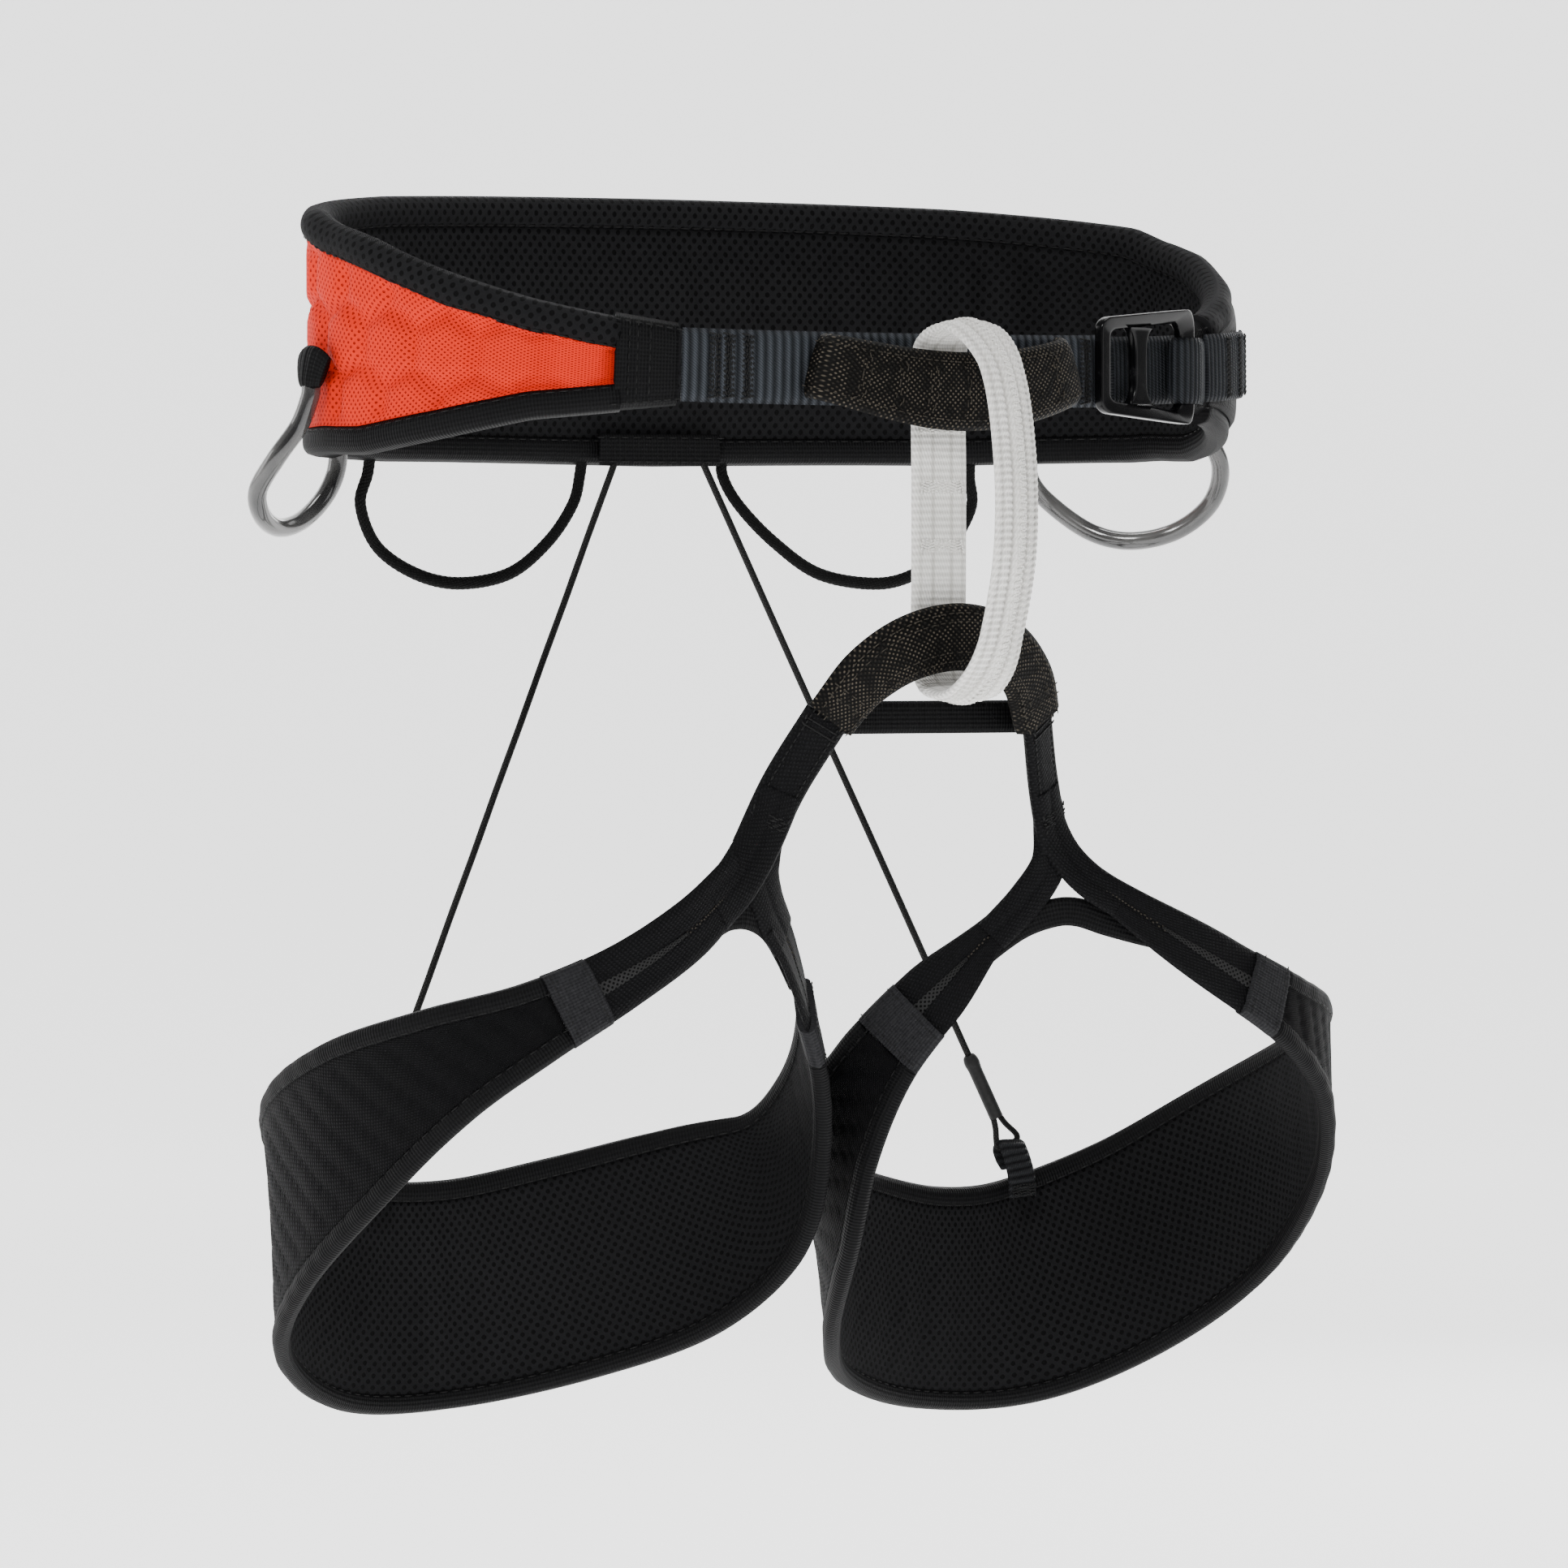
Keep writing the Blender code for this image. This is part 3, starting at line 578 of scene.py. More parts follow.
pad_path, pad_out, pad_angles = belt_path(WING_FROM + 0.2, WING_TO - 0.2, PAD_STEP)
pad_across = np.cross(pad_out, headings(pad_path))
pad_across *= np.sign(pad_across[:, 2:3])
pad_low, pad_high = pad_edges(pad_angles)
coarse = np.linspace(0, len(pad_path) - 1, int(len(pad_path) * PAD_STEP / SIM_STEP)).astype(int)
rise_out, rise_in = blown_up(pad_path[coarse], pad_out[coarse], pad_across[coarse], pad_low[coarse],
                             pad_high[coarse], WING_FOAM, WING_SWELL)
ORANGE_KNIT, BODY_MESH = orange_knit(), black_diamond_mesh("lining_mesh")
wing_panel = pad_half("waist_wing_panel", pad_path, pad_out, pad_across, pad_low, pad_high, 0.0004,
                      WING_FACE, rise_out, ORANGE_KNIT, lambda u, v: CELL_RELIEF * honeycomb(u, v))
finished(wing_panel, "waist_belt", ("waist_shell", "waist_core"))
wing_lining = pad_half("waist_wing_lining", pad_path, -pad_out, pad_across, pad_low, pad_high, 0.0,
                       WING_FACE, rise_in, BODY_MESH, lambda u, v: 0.0006 * honeycomb(u, v + 0.004))
finished(wing_lining, "waist_belt", ("waist_lining",))


# ---- Waist pad edges --------------------------------------------------------------------------
# The top edge is a soft roll covered in the same black mesh, turned over from inside. The lower edge
# and the pad's two ends are bound in black stretch tape, with a sewn line along each side.
STITCH_LENGTH, STITCH_GAP, STITCH_THICKNESS = 0.0026, 0.0011, 0.00042


def band(name, path, outward, half, inner, outer, material, columns=8, closed=False, relief=None,
         roundness=4.0, crown=0.0):
    """A strap with soft edges; relief raises its outer face, and crown makes it thick in the middle."""
    path = np.array(path, dtype=float)
    out, across = directions(path, outward, closed)
    count = len(path)
    half, inner, outer = (np.broadcast_to(np.array(v, dtype=float), (count,)) for v in (half, inner, outer))
    along = lengths_along(path, closed)
    share = np.linspace(-1, 1, 2 * columns + 1)
    fall = (1 - np.abs(share) ** roundness * 0.999) ** (1 / 2)
    rings = []
    for i in range(count):
        middle, thick = (inner[i] + outer[i]) / 2, (outer[i] - inner[i]) / 2
        reach = half[i] * share
        lift = middle + thick * fall * (1 + crown * (1 - share ** 2))
        if relief is not None:
            lift = lift + relief(along[i], reach) * np.minimum(1, (1 - np.abs(share)) * 6)
        below = middle - thick * fall
        top = path[i] + across[i] * reach[:, None] + out[i] * lift[:, None]
        base = path[i] + across[i] * reach[1:-1][::-1, None] + out[i] * below[1:-1][::-1, None]
        rings.append(np.vstack([top, base]))
    spread = half.max() * share
    return skin(name, rings, material, along, np.concatenate([spread, spread[1:-1][::-1]]), closed)


def stitch_tree():
    """Lays short rounded stitches along every line it is given."""
    tree = bpy.data.node_groups.new("stitches", "GeometryNodeTree")
    for label, kind in (("Geometry", "NodeSocketGeometry"), ("Stitch Length", "NodeSocketFloat"),
                        ("Gap", "NodeSocketFloat"), ("Thickness", "NodeSocketFloat"),
                        ("Thread", "NodeSocketMaterial")):
        tree.interface.new_socket(label, in_out="INPUT", socket_type=kind)
    tree.interface.new_socket("Geometry", in_out="OUTPUT", socket_type="NodeSocketGeometry")

    def add(kind, links=(), **settings):
        made = tree.nodes.new(kind)
        for key, value in settings.items():
            setattr(made, key, value)
        for socket, source in links:
            if isinstance(source, bpy.types.NodeSocket):
                tree.links.new(source, made.inputs[socket])
            else:
                made.inputs[socket].default_value = source
        return made
    given = add("NodeGroupInput").outputs
    line = add("GeometryNodeMeshToCurve", [("Mesh", given["Geometry"])])
    pitch = add("ShaderNodeMath", [(0, given["Stitch Length"]), (1, given["Gap"])], operation="ADD")
    dots = add("GeometryNodeCurveToPoints", [("Curve", line.outputs["Curve"]),
                                             ("Length", pitch.outputs[0])], mode="LENGTH")
    long_way = add("GeometryNodeMeshUVSphere", [("Segments", 6), ("Rings", 5), ("Radius", 0.5)])
    size = add("ShaderNodeCombineXYZ", [(0, given["Thickness"]), (1, given["Thickness"]),
                                        (2, given["Stitch Length"])])
    laid = add("GeometryNodeInstanceOnPoints", [("Points", dots.outputs["Points"]),
                                                ("Instance", long_way.outputs["Mesh"]),
                                                ("Rotation", dots.outputs["Rotation"]),
                                                ("Scale", size.outputs[0])])
    real = add("GeometryNodeRealizeInstances", [("Geometry", laid.outputs["Instances"])])
    coloured = add("GeometryNodeSetMaterial", [("Geometry", real.outputs["Geometry"]),
                                               ("Material", given["Thread"])])
    smooth = add("GeometryNodeSetShadeSmooth", [("Geometry", coloured.outputs["Geometry"])])
    add("NodeGroupOutput", [("Geometry", smooth.outputs["Geometry"])])
    return tree


STITCHES = stitch_tree()


def stitched(name, lines, thread, length=STITCH_LENGTH, gap=STITCH_GAP, thickness=STITCH_THICKNESS):
    """One plain mesh of all the stitches that run along the given lines."""
    points, edges = [], []
    for line in lines:
        start = len(points)
        points += [tuple(p) for p in line]
        edges += [(start + k, start + k + 1) for k in range(len(line) - 1)]
    mesh = bpy.data.meshes.new(name)
    mesh.from_pydata(points, edges, [])
    piece = placed(name, mesh)
    modifier = piece.modifiers.new("stitches", "NODES")
    modifier.node_group = STITCHES
    wanted = {"Stitch Length": length, "Gap": gap, "Thickness": thickness, "Thread": thread}
    for item in STITCHES.interface.items_tree:
        if item.in_out == "INPUT" and item.name in wanted:
            modifier[item.identifier] = wanted[item.name]
    piece.update_tag()
    graph = bpy.context.evaluated_depsgraph_get()
    graph.update()
    plain = bpy.data.meshes.new_from_object(piece.evaluated_get(graph))
    piece.modifiers.remove(modifier)
    piece.data = plain
    return piece


def sewn(name, body, slot, lines, thread, *sizes):
    """Stitches along lines, held by a body."""
    finished(stitched(name, lines, thread, *sizes), body, ())


def ribs(depth, turn):
    """Relief of fine ribs across a strap; turn is how many radians pass in a metre."""
    return lambda u, v: depth * np.sin(u * turn) + 0 * v


def grooves(depth, at, width):
    """Relief of two grooves along a strap, at this reach either side of its middle."""
    return lambda u, v: -depth * np.exp(-((np.abs(v) - at) / width) ** 2)


def thread_finish(name, dark, light):
    finish = Finish(name, 0.55)
    twist = finish.noise(1500, 1)
    return finish.done(finish.blend(twist, dark, light), twist, 0.0001)


def stretch_binding():
    """Ribbed elastic tape: fine ribs across it and a soft sheen."""
    finish = Finish("stretch_binding", 0.6)
    u, v = finish.axes()
    ribs = u.wave(0.0009) * 0.6 + v.wave(0.0012) * 0.4
    share = ribs * 0.7 + finish.noise(60) * 0.3
    return finish.done(finish.blend(share, (0.0006, 0.0006, 0.0007), (0.0050, 0.0050, 0.0055)), ribs, 0.00025)


def line_on(path, outward, across, reach, lift):
    """A line that follows a strap at some reach across it, a little off its face."""
    return path + across * np.reshape(reach, (-1, 1)) + outward * np.reshape(lift, (-1, 1))


def line_over(path, outward, across, at, half, lift, count):
    """A line straight across a strap at one station."""
    return [path[at] + across[at] * s + outward[at] * lift for s in np.linspace(-half, half, count)]


BLACK_THREAD = thread_finish("black_thread", (0.004, 0.004, 0.004), (0.018, 0.018, 0.018))
BINDING = stretch_binding()
edge_path, edge_out, edge_angles = belt_path(WING_FROM, WING_TO, 0.0025)
edge_top, edge_bottom = wing_height(edge_angles)
HALF_THICK = BELT_THICKNESS / 2
roll_path = edge_path + UP * (edge_top - TOP_ROLL / 2)[:, None]
top_roll = band("waist_top_roll", roll_path, edge_out, TOP_ROLL / 2, -HALF_THICK - 0.0004,
                HALF_THICK + 0.0004, BODY_MESH, 7, roundness=2.0,
                relief=lambda u, v: 0.00025 * np.sin(u * 300 + 3 * np.sin(u * 37)) + 0 * v)
finished(top_roll, "waist_belt", ("waist_edge_top",))
tape_path = edge_path + UP * (edge_bottom + BOTTOM_BINDING / 2)[:, None]
tape_out, tape_across = directions(tape_path, edge_out)
bottom_tape = band("waist_bottom_binding", tape_path, edge_out, BOTTOM_BINDING / 2, -HALF_THICK + 0.0004,
                   HALF_THICK - 0.0004, BINDING, 6, roundness=2.6, relief=ribs(0.00012, 2400))
finished(bottom_tape, "waist_belt", ("waist_edge_bottom",))
tape_across *= np.sign(tape_across[:, 2:3])
roll_out, roll_across = directions(roll_path, edge_out)
roll_across *= np.sign(roll_across[:, 2:3])
lines = []
for direction in (1, -1):
    lines.append(line_on(tape_path, tape_out, tape_across, BOTTOM_BINDING / 2 - 0.0016,
                         direction * (HALF_THICK - 0.0006)))
    lines.append(line_on(roll_path, roll_out, roll_across, -TOP_ROLL / 2 + 0.0012,
                         direction * (HALF_THICK - 0.0008)))
sewn("waist_edge_stitches", "waist_belt", "binding", lines, BLACK_THREAD)


# ---- Front webbing and end tabs ---------------------------------------------------------------
# Each end of the pad is closed by a folded tab that swallows the ribbed webbing. The webbing runs
# across the front, through the tie-in, to the buckle, and is bar-tacked in front of the tab.
WEBBING_WIDTH, WEBBING_THICKNESS = 0.020, 0.0024
BUCKLE_ANGLE = 28.0
END_TAB_SPAN = 8.0                       # degrees
RIB = 0.0027
TACK_ANGLES = (-24.6, -22.6, -20.2)      # the three bar-tacks beside the tab
FAR_TACK_ANGLE = 18.4                    # and the one beside the buckle
TACK = (0.0009, -0.0001, 0.0006)         # a bar-tack's stitches: length, gap and thickness


def ribbed_webbing(name, dark, light, rib=RIB):
    """Nylon webbing with ribs across it, each of slanting yarns; the lighter colour on the rib crowns and
    yarns is a painted highlight.
    """
    finish = Finish(name, 0.55)
    u, v = finish.axes()
    ribs = u.wave(rib)
    yarn = (v + u * 0.8).wave(0.0008)
    # the colour is lighter on the rib crowns and slanting yarns: painted glints
    share = (ribs * 0.7 + 0.1) * (yarn * 0.5 + 0.5) + finish.noise(70) * 0.12
    return finish.done(finish.blend(share, dark, light), ribs * 0.6 + yarn * 0.4, 0.00035)


def zigzag(path, outward, across, at, half, lift, width=0.0022, turns=15):
    """The dense to-and-fro line of a bar-tack across a strap, at one station."""
    place, out, side = path[at], outward[at], across[at]
    along = unit(path[min(at + 1, len(path) - 1)] - path[max(at - 1, 0)])
    steps = np.linspace(-half, half, turns)
    return [place + side * s + along * width / 2 * (1 if k % 2 else -1) + out * lift
            for k, s in enumerate(steps)]


# the light colour here is the painted glint on the ribs
WEBBING = ribbed_webbing("ribbed_webbing", (0.0016, 0.0019, 0.0026), (0.052, 0.058, 0.068))
web_path, web_out, web_angles = belt_path(WING_TO - 360 + END_TAB_SPAN + 0.75, BUCKLE_ANGLE - 6.2, 0.00045)
web_out, web_across = directions(web_path, web_out)
webbing = band("front_webbing", web_path, web_out, WEBBING_WIDTH / 2, 0, WEBBING_THICKNESS, WEBBING, 6,
               relief=ribs(0.00022, 2 * math.pi / RIB))
finished(webbing, "waist_belt", ("waist_webbing",))
tacks = []
for angle, inset, width, turns in (*((a, 0.0012, 0.0032, 25) for a in TACK_ANGLES),
                                   (FAR_TACK_ANGLE, 0.001, 0.0036, 27)):
    at = int(np.argmin(np.abs(web_angles - angle)))
    tacks.append(zigzag(web_path, web_out, web_across, at, WEBBING_WIDTH / 2 - inset,
                        WEBBING_THICKNESS + 0.0001, width, turns))
sewn("front_bar_tacks", "waist_belt", "webbing", tacks, BLACK_THREAD, *TACK)
for name, start, end, flare in (("left", WING_FROM - END_TAB_SPAN - 0.25, WING_FROM + 0.6, 1),
                                ("right", WING_TO - 0.6, WING_TO + END_TAB_SPAN + 0.25, -1)):
    path, out, _ = belt_path(start, end, 0.0012)
    share = shares(path)[::flare]
    half = WEBBING_WIDTH / 2 + 0.0012 + 0.0022 * share
    thick = 0.0022 + 0.0017 * share
    tab = band("waist_end_tab_" + name, path, out, half, -thick, thick, BINDING, 8, roundness=5,
               relief=grooves(0.0004, 0.0085, 0.0006))
    finished(tab, "waist_belt", ("waist_end_" + name,))
    out, across = directions(path, out)
    reach, lift = half - 0.0018, thick + 0.0001
    rows = [line_on(path, out, across, s * reach, lift) for s in (1, -1)]
    rows += [line_over(path, out, across, at, reach[at], lift[at], 12) for at in (3, 5, len(path) // 2)]
    sewn("waist_end_stitches_" + name, "waist_belt", "binding", rows, BLACK_THREAD, 0.0021, 0.0008)


# ---- Upper tie-in point -----------------------------------------------------------------------
# A thick loop of strong tape in a speckled woven sheath. It bulges forward from the belt's webbing
# and the white belay loop hangs from it. Two rows of stitches close the sheath along its edges.
TIE_IN_WIDTH, TIE_IN_THICKNESS, TIE_IN_BULGE, TIE_IN_DROP = 0.0215, 0.0045, 0.0088, -0.006
TIE_IN_FROM, TIE_IN_TO = -11.5, 14.0


def speckled_sheath():
    """Dark brown-black plain weave with pale flecks where the wear yarns come to the surface."""
    finish = Finish("speckled_sheath", 0.65)
    u, v = finish.axes()
    weave = (u + v).wave(0.0016) * (u - v).wave(0.0016)
    pick = finish.noise(300, 2).between(0.36, 0.60)
    share = pick * weave.between(0.35, 0.85)
    base = finish.blend(weave, (0.0012, 0.0011, 0.0010), (0.010, 0.009, 0.0075))
    return finish.done(finish.blend(share, base, (0.080, 0.068, 0.052)), weave, 0.0003)


def checked(u, v):
    """Relief of a plain weave."""
    return 0.0001 * np.sin(u * 3900) * np.sin(v * 5000)


SHEATH = speckled_sheath()
tie_path, tie_out, _ = belt_path(TIE_IN_FROM, TIE_IN_TO, 0.0009)
bulge = np.sin(math.pi * shares(tie_path))
tie_path = (tie_path + tie_out * (WEBBING_THICKNESS + 0.00035 + TIE_IN_BULGE * bulge ** 0.35)[:, None]
            + UP * (TIE_IN_DROP * bulge)[:, None])
tie_half = TIE_IN_WIDTH / 2 - 0.0015 + 0.0015 * bulge
upper_tie_in = band("upper_tie_in_sheath", tie_path, (0, -1, 0), tie_half, 0, TIE_IN_THICKNESS, SHEATH, 9,
                    roundness=3.0, relief=checked)
finished(upper_tie_in, "waist_belt", ("upper_tie_in",))
tie_out, tie_across = directions(tie_path, (0, -1, 0))
SHEATH_THREAD = thread_finish("sheath_thread", (0.010, 0.009, 0.008), (0.055, 0.048, 0.038))
rows = [line_on(tie_path, tie_out, tie_across, s * (tie_half - 0.0028), TIE_IN_THICKNESS - 0.0003)
        for s in (1, -1)]
rows += [zigzag(tie_path, tie_out, tie_across, int(at * len(tie_path)), TIE_IN_WIDTH / 2 - 0.0042,
                TIE_IN_THICKNESS, 0.0036, 9) for at in (0.12, 0.24, 0.36, 0.50, 0.88)]
sewn("upper_tie_in_stitches", "waist_belt", "sheath", rows, SHEATH_THREAD, 0.0015, 0.0009, 0.00036)


# ---- Buckle -----------------------------------------------------------------------------------
# A pressed steel frame, bent outward along its top and bottom edges and coated glossy black, with a
# flared bar that slides in it to grip the webbing. The adjusting strap is folded round its far side.
BUCKLE_WIDTH, BUCKLE_HEIGHT, BUCKLE_BAR, BUCKLE_DEPTH = 0.041, 0.033, 0.005, 0.004
SLIDER_FROM, SLIDER_BAR = -0.006, 0.005
BUCKLE_FACE = WEBBING_THICKNESS + 0.0008
BUCKLE_LIFT = 0.0012
BUCKLE_CORNERS = (0.0062, 0.0040)        # corner radii on the far side and on the near side
FAR_BAR_SHARE = 1.45                     # how much wider the far bar is than the near one
BUCKLE_LIP = 0.0028                      # how far the top and bottom edges bend out
ADJUST_RIB = 0.0017
COVER_SPAN, SEWN_SPAN = 28.0, 16.0       # degrees over the wing's end
FOLD = ((12.5, -2.2), (8.5, 0.4), (4.8, 3.0), (2.2, 4.4), (-1.0, 4.8), (-4.2, 4.0), (-5.2, 1.8),
        (-4.0, -0.2), (-1.0, -1.0))      # the strap's turn round the far bar, in millimetres


def coated_steel():
    """Glossy black coat over steel, with faint wear where the webbing rubs."""
    finish = Finish("coated_steel", 0.2, Specular_IOR_Level=0.2)
    wear = finish.noise(160, 4).between(0.55, 0.72)
    colour = finish.blend(wear, (0.0015, 0.0015, 0.0018), (0.006, 0.006, 0.0065))
    return finish.done(colour, finish.noise(420, 2), 0.00002, wear * 0.12 + 0.2)


def metal_piece(name, sections, closed, width):
    """A ring or a bar from its cross-sections, smooth and with rounded edges."""
    count, sides = len(sections), len(sections[0])
    faces = [(i * sides + k, (i + 1) % count * sides + k, (i + 1) % count * sides + (k + 1) % sides,
              i * sides + (k + 1) % sides)
             for i in range(count if closed else count - 1) for k in range(sides)]
    if not closed:
        faces += [tuple(range(sides))[::-1], tuple((count - 1) * sides + k for k in range(sides))]
    mesh = bpy.data.meshes.new(name)
    mesh.from_pydata(np.array(sections).reshape(-1, 3).tolist(), [], faces)
    mesh.materials.append(STEEL)
    if signed_volume(mesh) < 0:
        mesh.flip_normals()
    piece = placed(name, mesh)
    bevel = piece.modifiers.new("rounded_edges", "BEVEL")
    bevel.width, bevel.segments, bevel.limit_method = width, 3, "ANGLE"
    bevel.angle_limit = math.radians(35)
    smooth = piece.modifiers.new("fine", "SUBSURF")
    smooth.levels = smooth.render_levels = 1
    graph = bpy.context.evaluated_depsgraph_get()
    plain = bpy.data.meshes.new_from_object(piece.evaluated_get(graph))
    piece.modifiers.clear()
    piece.data = plain
    plain.shade_smooth()
    return piece


# the light colour here is the painted glint on the ribs
ADJUST_WEBBING = ribbed_webbing("adjust_webbing", (0.0010, 0.0011, 0.0014), (0.028, 0.031, 0.036),
                                ADJUST_RIB)
STEEL = coated_steel()
buckle_middle, buckle_out = belt_point(BUCKLE_ANGLE)
buckle_along = np.cross(UP, buckle_out)


def at_buckle(x, z, y):
    """A place in the buckle's own directions: along the belt, up, and out from it."""
    return buckle_middle + buckle_along * x + UP * (z + BUCKLE_LIFT) + buckle_out * (BUCKLE_FACE + y)


half_w, half_h = BUCKLE_WIDTH / 2, BUCKLE_HEIGHT / 2
sections = []
for cx, cz, start in ((half_w, half_h, 0), (-half_w, half_h, 90), (-half_w, -half_h, 180),
                      (half_w, -half_h, 270)):
    radius = BUCKLE_CORNERS[0] if cx > 0 else BUCKLE_CORNERS[1]
    for turn in np.linspace(start, start + 90, 9):
        t = math.radians(turn)
        x = cx - math.copysign(radius, cx) + radius * math.cos(t)
        z = cz - math.copysign(radius, cz) + radius * math.sin(t)
        z *= 0.9 + 0.1 * x / half_w
        toward = np.array((x / half_w, z / half_h)) / math.hypot(x / half_w, z / half_h)
        inner_x = x - toward[0] * BUCKLE_BAR * (FAR_BAR_SHARE if x > 0 else 1.0)
        inner_z = z - math.copysign(min(abs(toward[1]) * BUCKLE_BAR, abs(z)), z)
        lip = (BUCKLE_LIP * np.clip((abs(z) / half_h - 0.6) / 0.35, 0, 1) ** 1.5
               * (1 - 0.8 * (x / half_w) ** 4))
        sections.append([at_buckle(inner_x, inner_z, 0.0002), at_buckle(x, z, 0.0002 + lip * 0.6),
                         at_buckle(x, z, BUCKLE_DEPTH - 0.0007 + lip),
                         at_buckle(inner_x, inner_z, BUCKLE_DEPTH - 0.0009)])
finished(metal_piece("buckle_plate", sections, True, 0.0007), "waist_belt", ("buckle_frame",))

slider_half = half_h - BUCKLE_BAR - 0.0008
sections = []
for z in np.linspace(-slider_half, slider_half, 17):
    flare = 0.0046 * (abs(z) / slider_half) ** 5
    near, far = SLIDER_FROM - flare * 0.6, SLIDER_FROM + SLIDER_BAR + flare * 0.6
    sections.append([at_buckle(near, z, 0.0007), at_buckle(far, z, 0.0007),
                     at_buckle(far, z, BUCKLE_DEPTH - 0.0004), at_buckle(near, z, BUCKLE_DEPTH - 0.0004)])
slider = metal_piece("buckle_slider_bar", sections, False, 0.0006)
finished(slider, "buckle_slider", ("buckle_slider",))

strap_path, strap_out, _ = belt_path(BUCKLE_ANGLE - 4.5, WING_FROM - END_TAB_SPAN - 0.75, 0.00045)
adjust = band("adjust_strap_webbing", strap_path, strap_out, WEBBING_WIDTH / 2 - 0.0005, -0.0002,
              WEBBING_THICKNESS - 0.0004, ADJUST_WEBBING, 6, relief=ribs(0.00016, 2 * math.pi / ADJUST_RIB))
finished(adjust, "waist_belt", ("adjust_strap",))
cover_path, cover_out, cover_angles = belt_path(WING_FROM - 0.5, WING_FROM + COVER_SPAN, 0.0012)
cover_low, cover_high = pad_edges(cover_angles)
cover_path = cover_path + UP * ((cover_high + cover_low) / 2)[:, None]
cover = band("waist_end_cover_left", cover_path, cover_out, (cover_high - cover_low) / 2 + 0.0026, 0.0022,
             np.interp(shares(cover_path), (0, 0.2, 1), (0.0042, 0.0054, 0.0058)), BINDING, 10,
             roundness=6.0, relief=ribs(0.00008, 3000))
finished(cover, "waist_belt", ())
sewn_path, sewn_out, _ = belt_path(WING_FROM - 3.0, WING_FROM + SEWN_SPAN, 0.00045)
stand = np.interp(shares(sewn_path), (0, 0.25, 0.85, 1), (0.0038, 0.0056, 0.0066, 0.0054))
sewn_strap = band("adjust_strap_sewn_end", sewn_path, sewn_out, WEBBING_WIDTH / 2 - 0.0005, stand,
                  stand + 0.0018, ADJUST_WEBBING, 6, relief=ribs(0.00016, 2 * math.pi / ADJUST_RIB))
finished(sewn_strap, "waist_belt", ())
out, across = directions(sewn_path, sewn_out)
tacks = [zigzag(sewn_path, out, across, at, WEBBING_WIDTH / 2 - 0.0015, stand[at] + 0.0019, 0.0032, 25)
         for at in (len(stand) - 10, len(stand) - 26, len(stand) // 3)]
sewn("adjust_strap_tacks", "waist_belt", "webbing", tacks, BLACK_THREAD, *TACK)
bar_x = half_w - BUCKLE_BAR / 2
fold_path = through([at_buckle(bar_x + x * MILLIMETRE, -0.001, y * MILLIMETRE) for x, y in FOLD], 70)
fold_out = unit(fold_path - at_buckle(bar_x, -0.001, 0.0018))
folded = band("adjust_strap_fold", fold_path, fold_out, WEBBING_WIDTH / 2 - 0.0008, -0.0006, 0.0007,
              ADJUST_WEBBING, 6, relief=ribs(0.00016, 2 * math.pi / ADJUST_RIB))
finished(folded, "waist_belt", ())


# ---- Belay loop -------------------------------------------------------------------------------
# A flat ring of thick white tape, woven with a firmer ridge along its middle, that joins the two
# tie-in points and can swing in them. A double run of white bar-tacks closes it behind.
BELAY_WIDTH, BELAY_THICKNESS, BELAY_SIDE = 0.018, 0.0035, -0.001
BELAY_ROUTE = ((-89.8, -66), (-89.8, -38), (-89.6, -8), (-93.5, 0.2), (-105, 2.5), (-116, -3.5),
               (-123, -15), (-127, -36), (-127, -56), (-123.5, -72), (-117, -87.5), (-108, -95.7),
               (-99, -97.2), (-91.7, -94), (-89.6, -83))      # millimetres, forward and up
BELAY_TWIST = 17                         # degrees by which the front of the loop turns sideways
TAPE_RIB = 0.0019
GROOVE_AT, RIM_AT = 0.0030, 0.0068       # the tape's grooves, either side of its middle


def woven_white():
    """Thick cream-white tape with cross ribs and a groove either side of its middle; its colour is darker
    between the ribs, in the grooves and at the rims: painted shade.
    """
    finish = Finish("white_tape", 0.7, Sheen_Weight=0.25)
    u, v = finish.axes()
    bars = u.wave(TAPE_RIB)
    yarn = (v + u * 0.35).wave(0.00085)
    height = bars * 0.6 + yarn * 0.4
    reach = v.step("ABSOLUTE")
    # groove and rim darken the colour in the tape's hollows: painted shade
    groove = (reach - GROOVE_AT).step("ABSOLUTE").between(0.0002, 0.0009) * 0.5 + 0.5
    rim = (reach - RIM_AT).step("ABSOLUTE").between(0.0002, 0.0008) * 0.3 + 0.7
    # bars darken the colour between the ribs: painted rib shadow
    share = (bars * 0.35 + yarn * 0.2 + finish.noise(90, 3) * 0.3 + 0.2) * groove * rim
    return finish.done(finish.blend(share, (0.33, 0.315, 0.285), (0.90, 0.89, 0.86)), height, 0.00035)


def tape_ridge(u, v):
    """Ridge along the tape's middle, grooves beside it, and ribs across."""
    ridge = 0.0008 * np.exp(-(v / 0.0016) ** 2)
    hollows = grooves(0.0008, GROOVE_AT, 0.0007)(u, v) + grooves(0.0006, RIM_AT, 0.0007)(u, v)
    return ridge + hollows + 0.00026 * np.sin((u + 0.0006 * np.sin(v * 900)) * 2 * math.pi / TAPE_RIB)


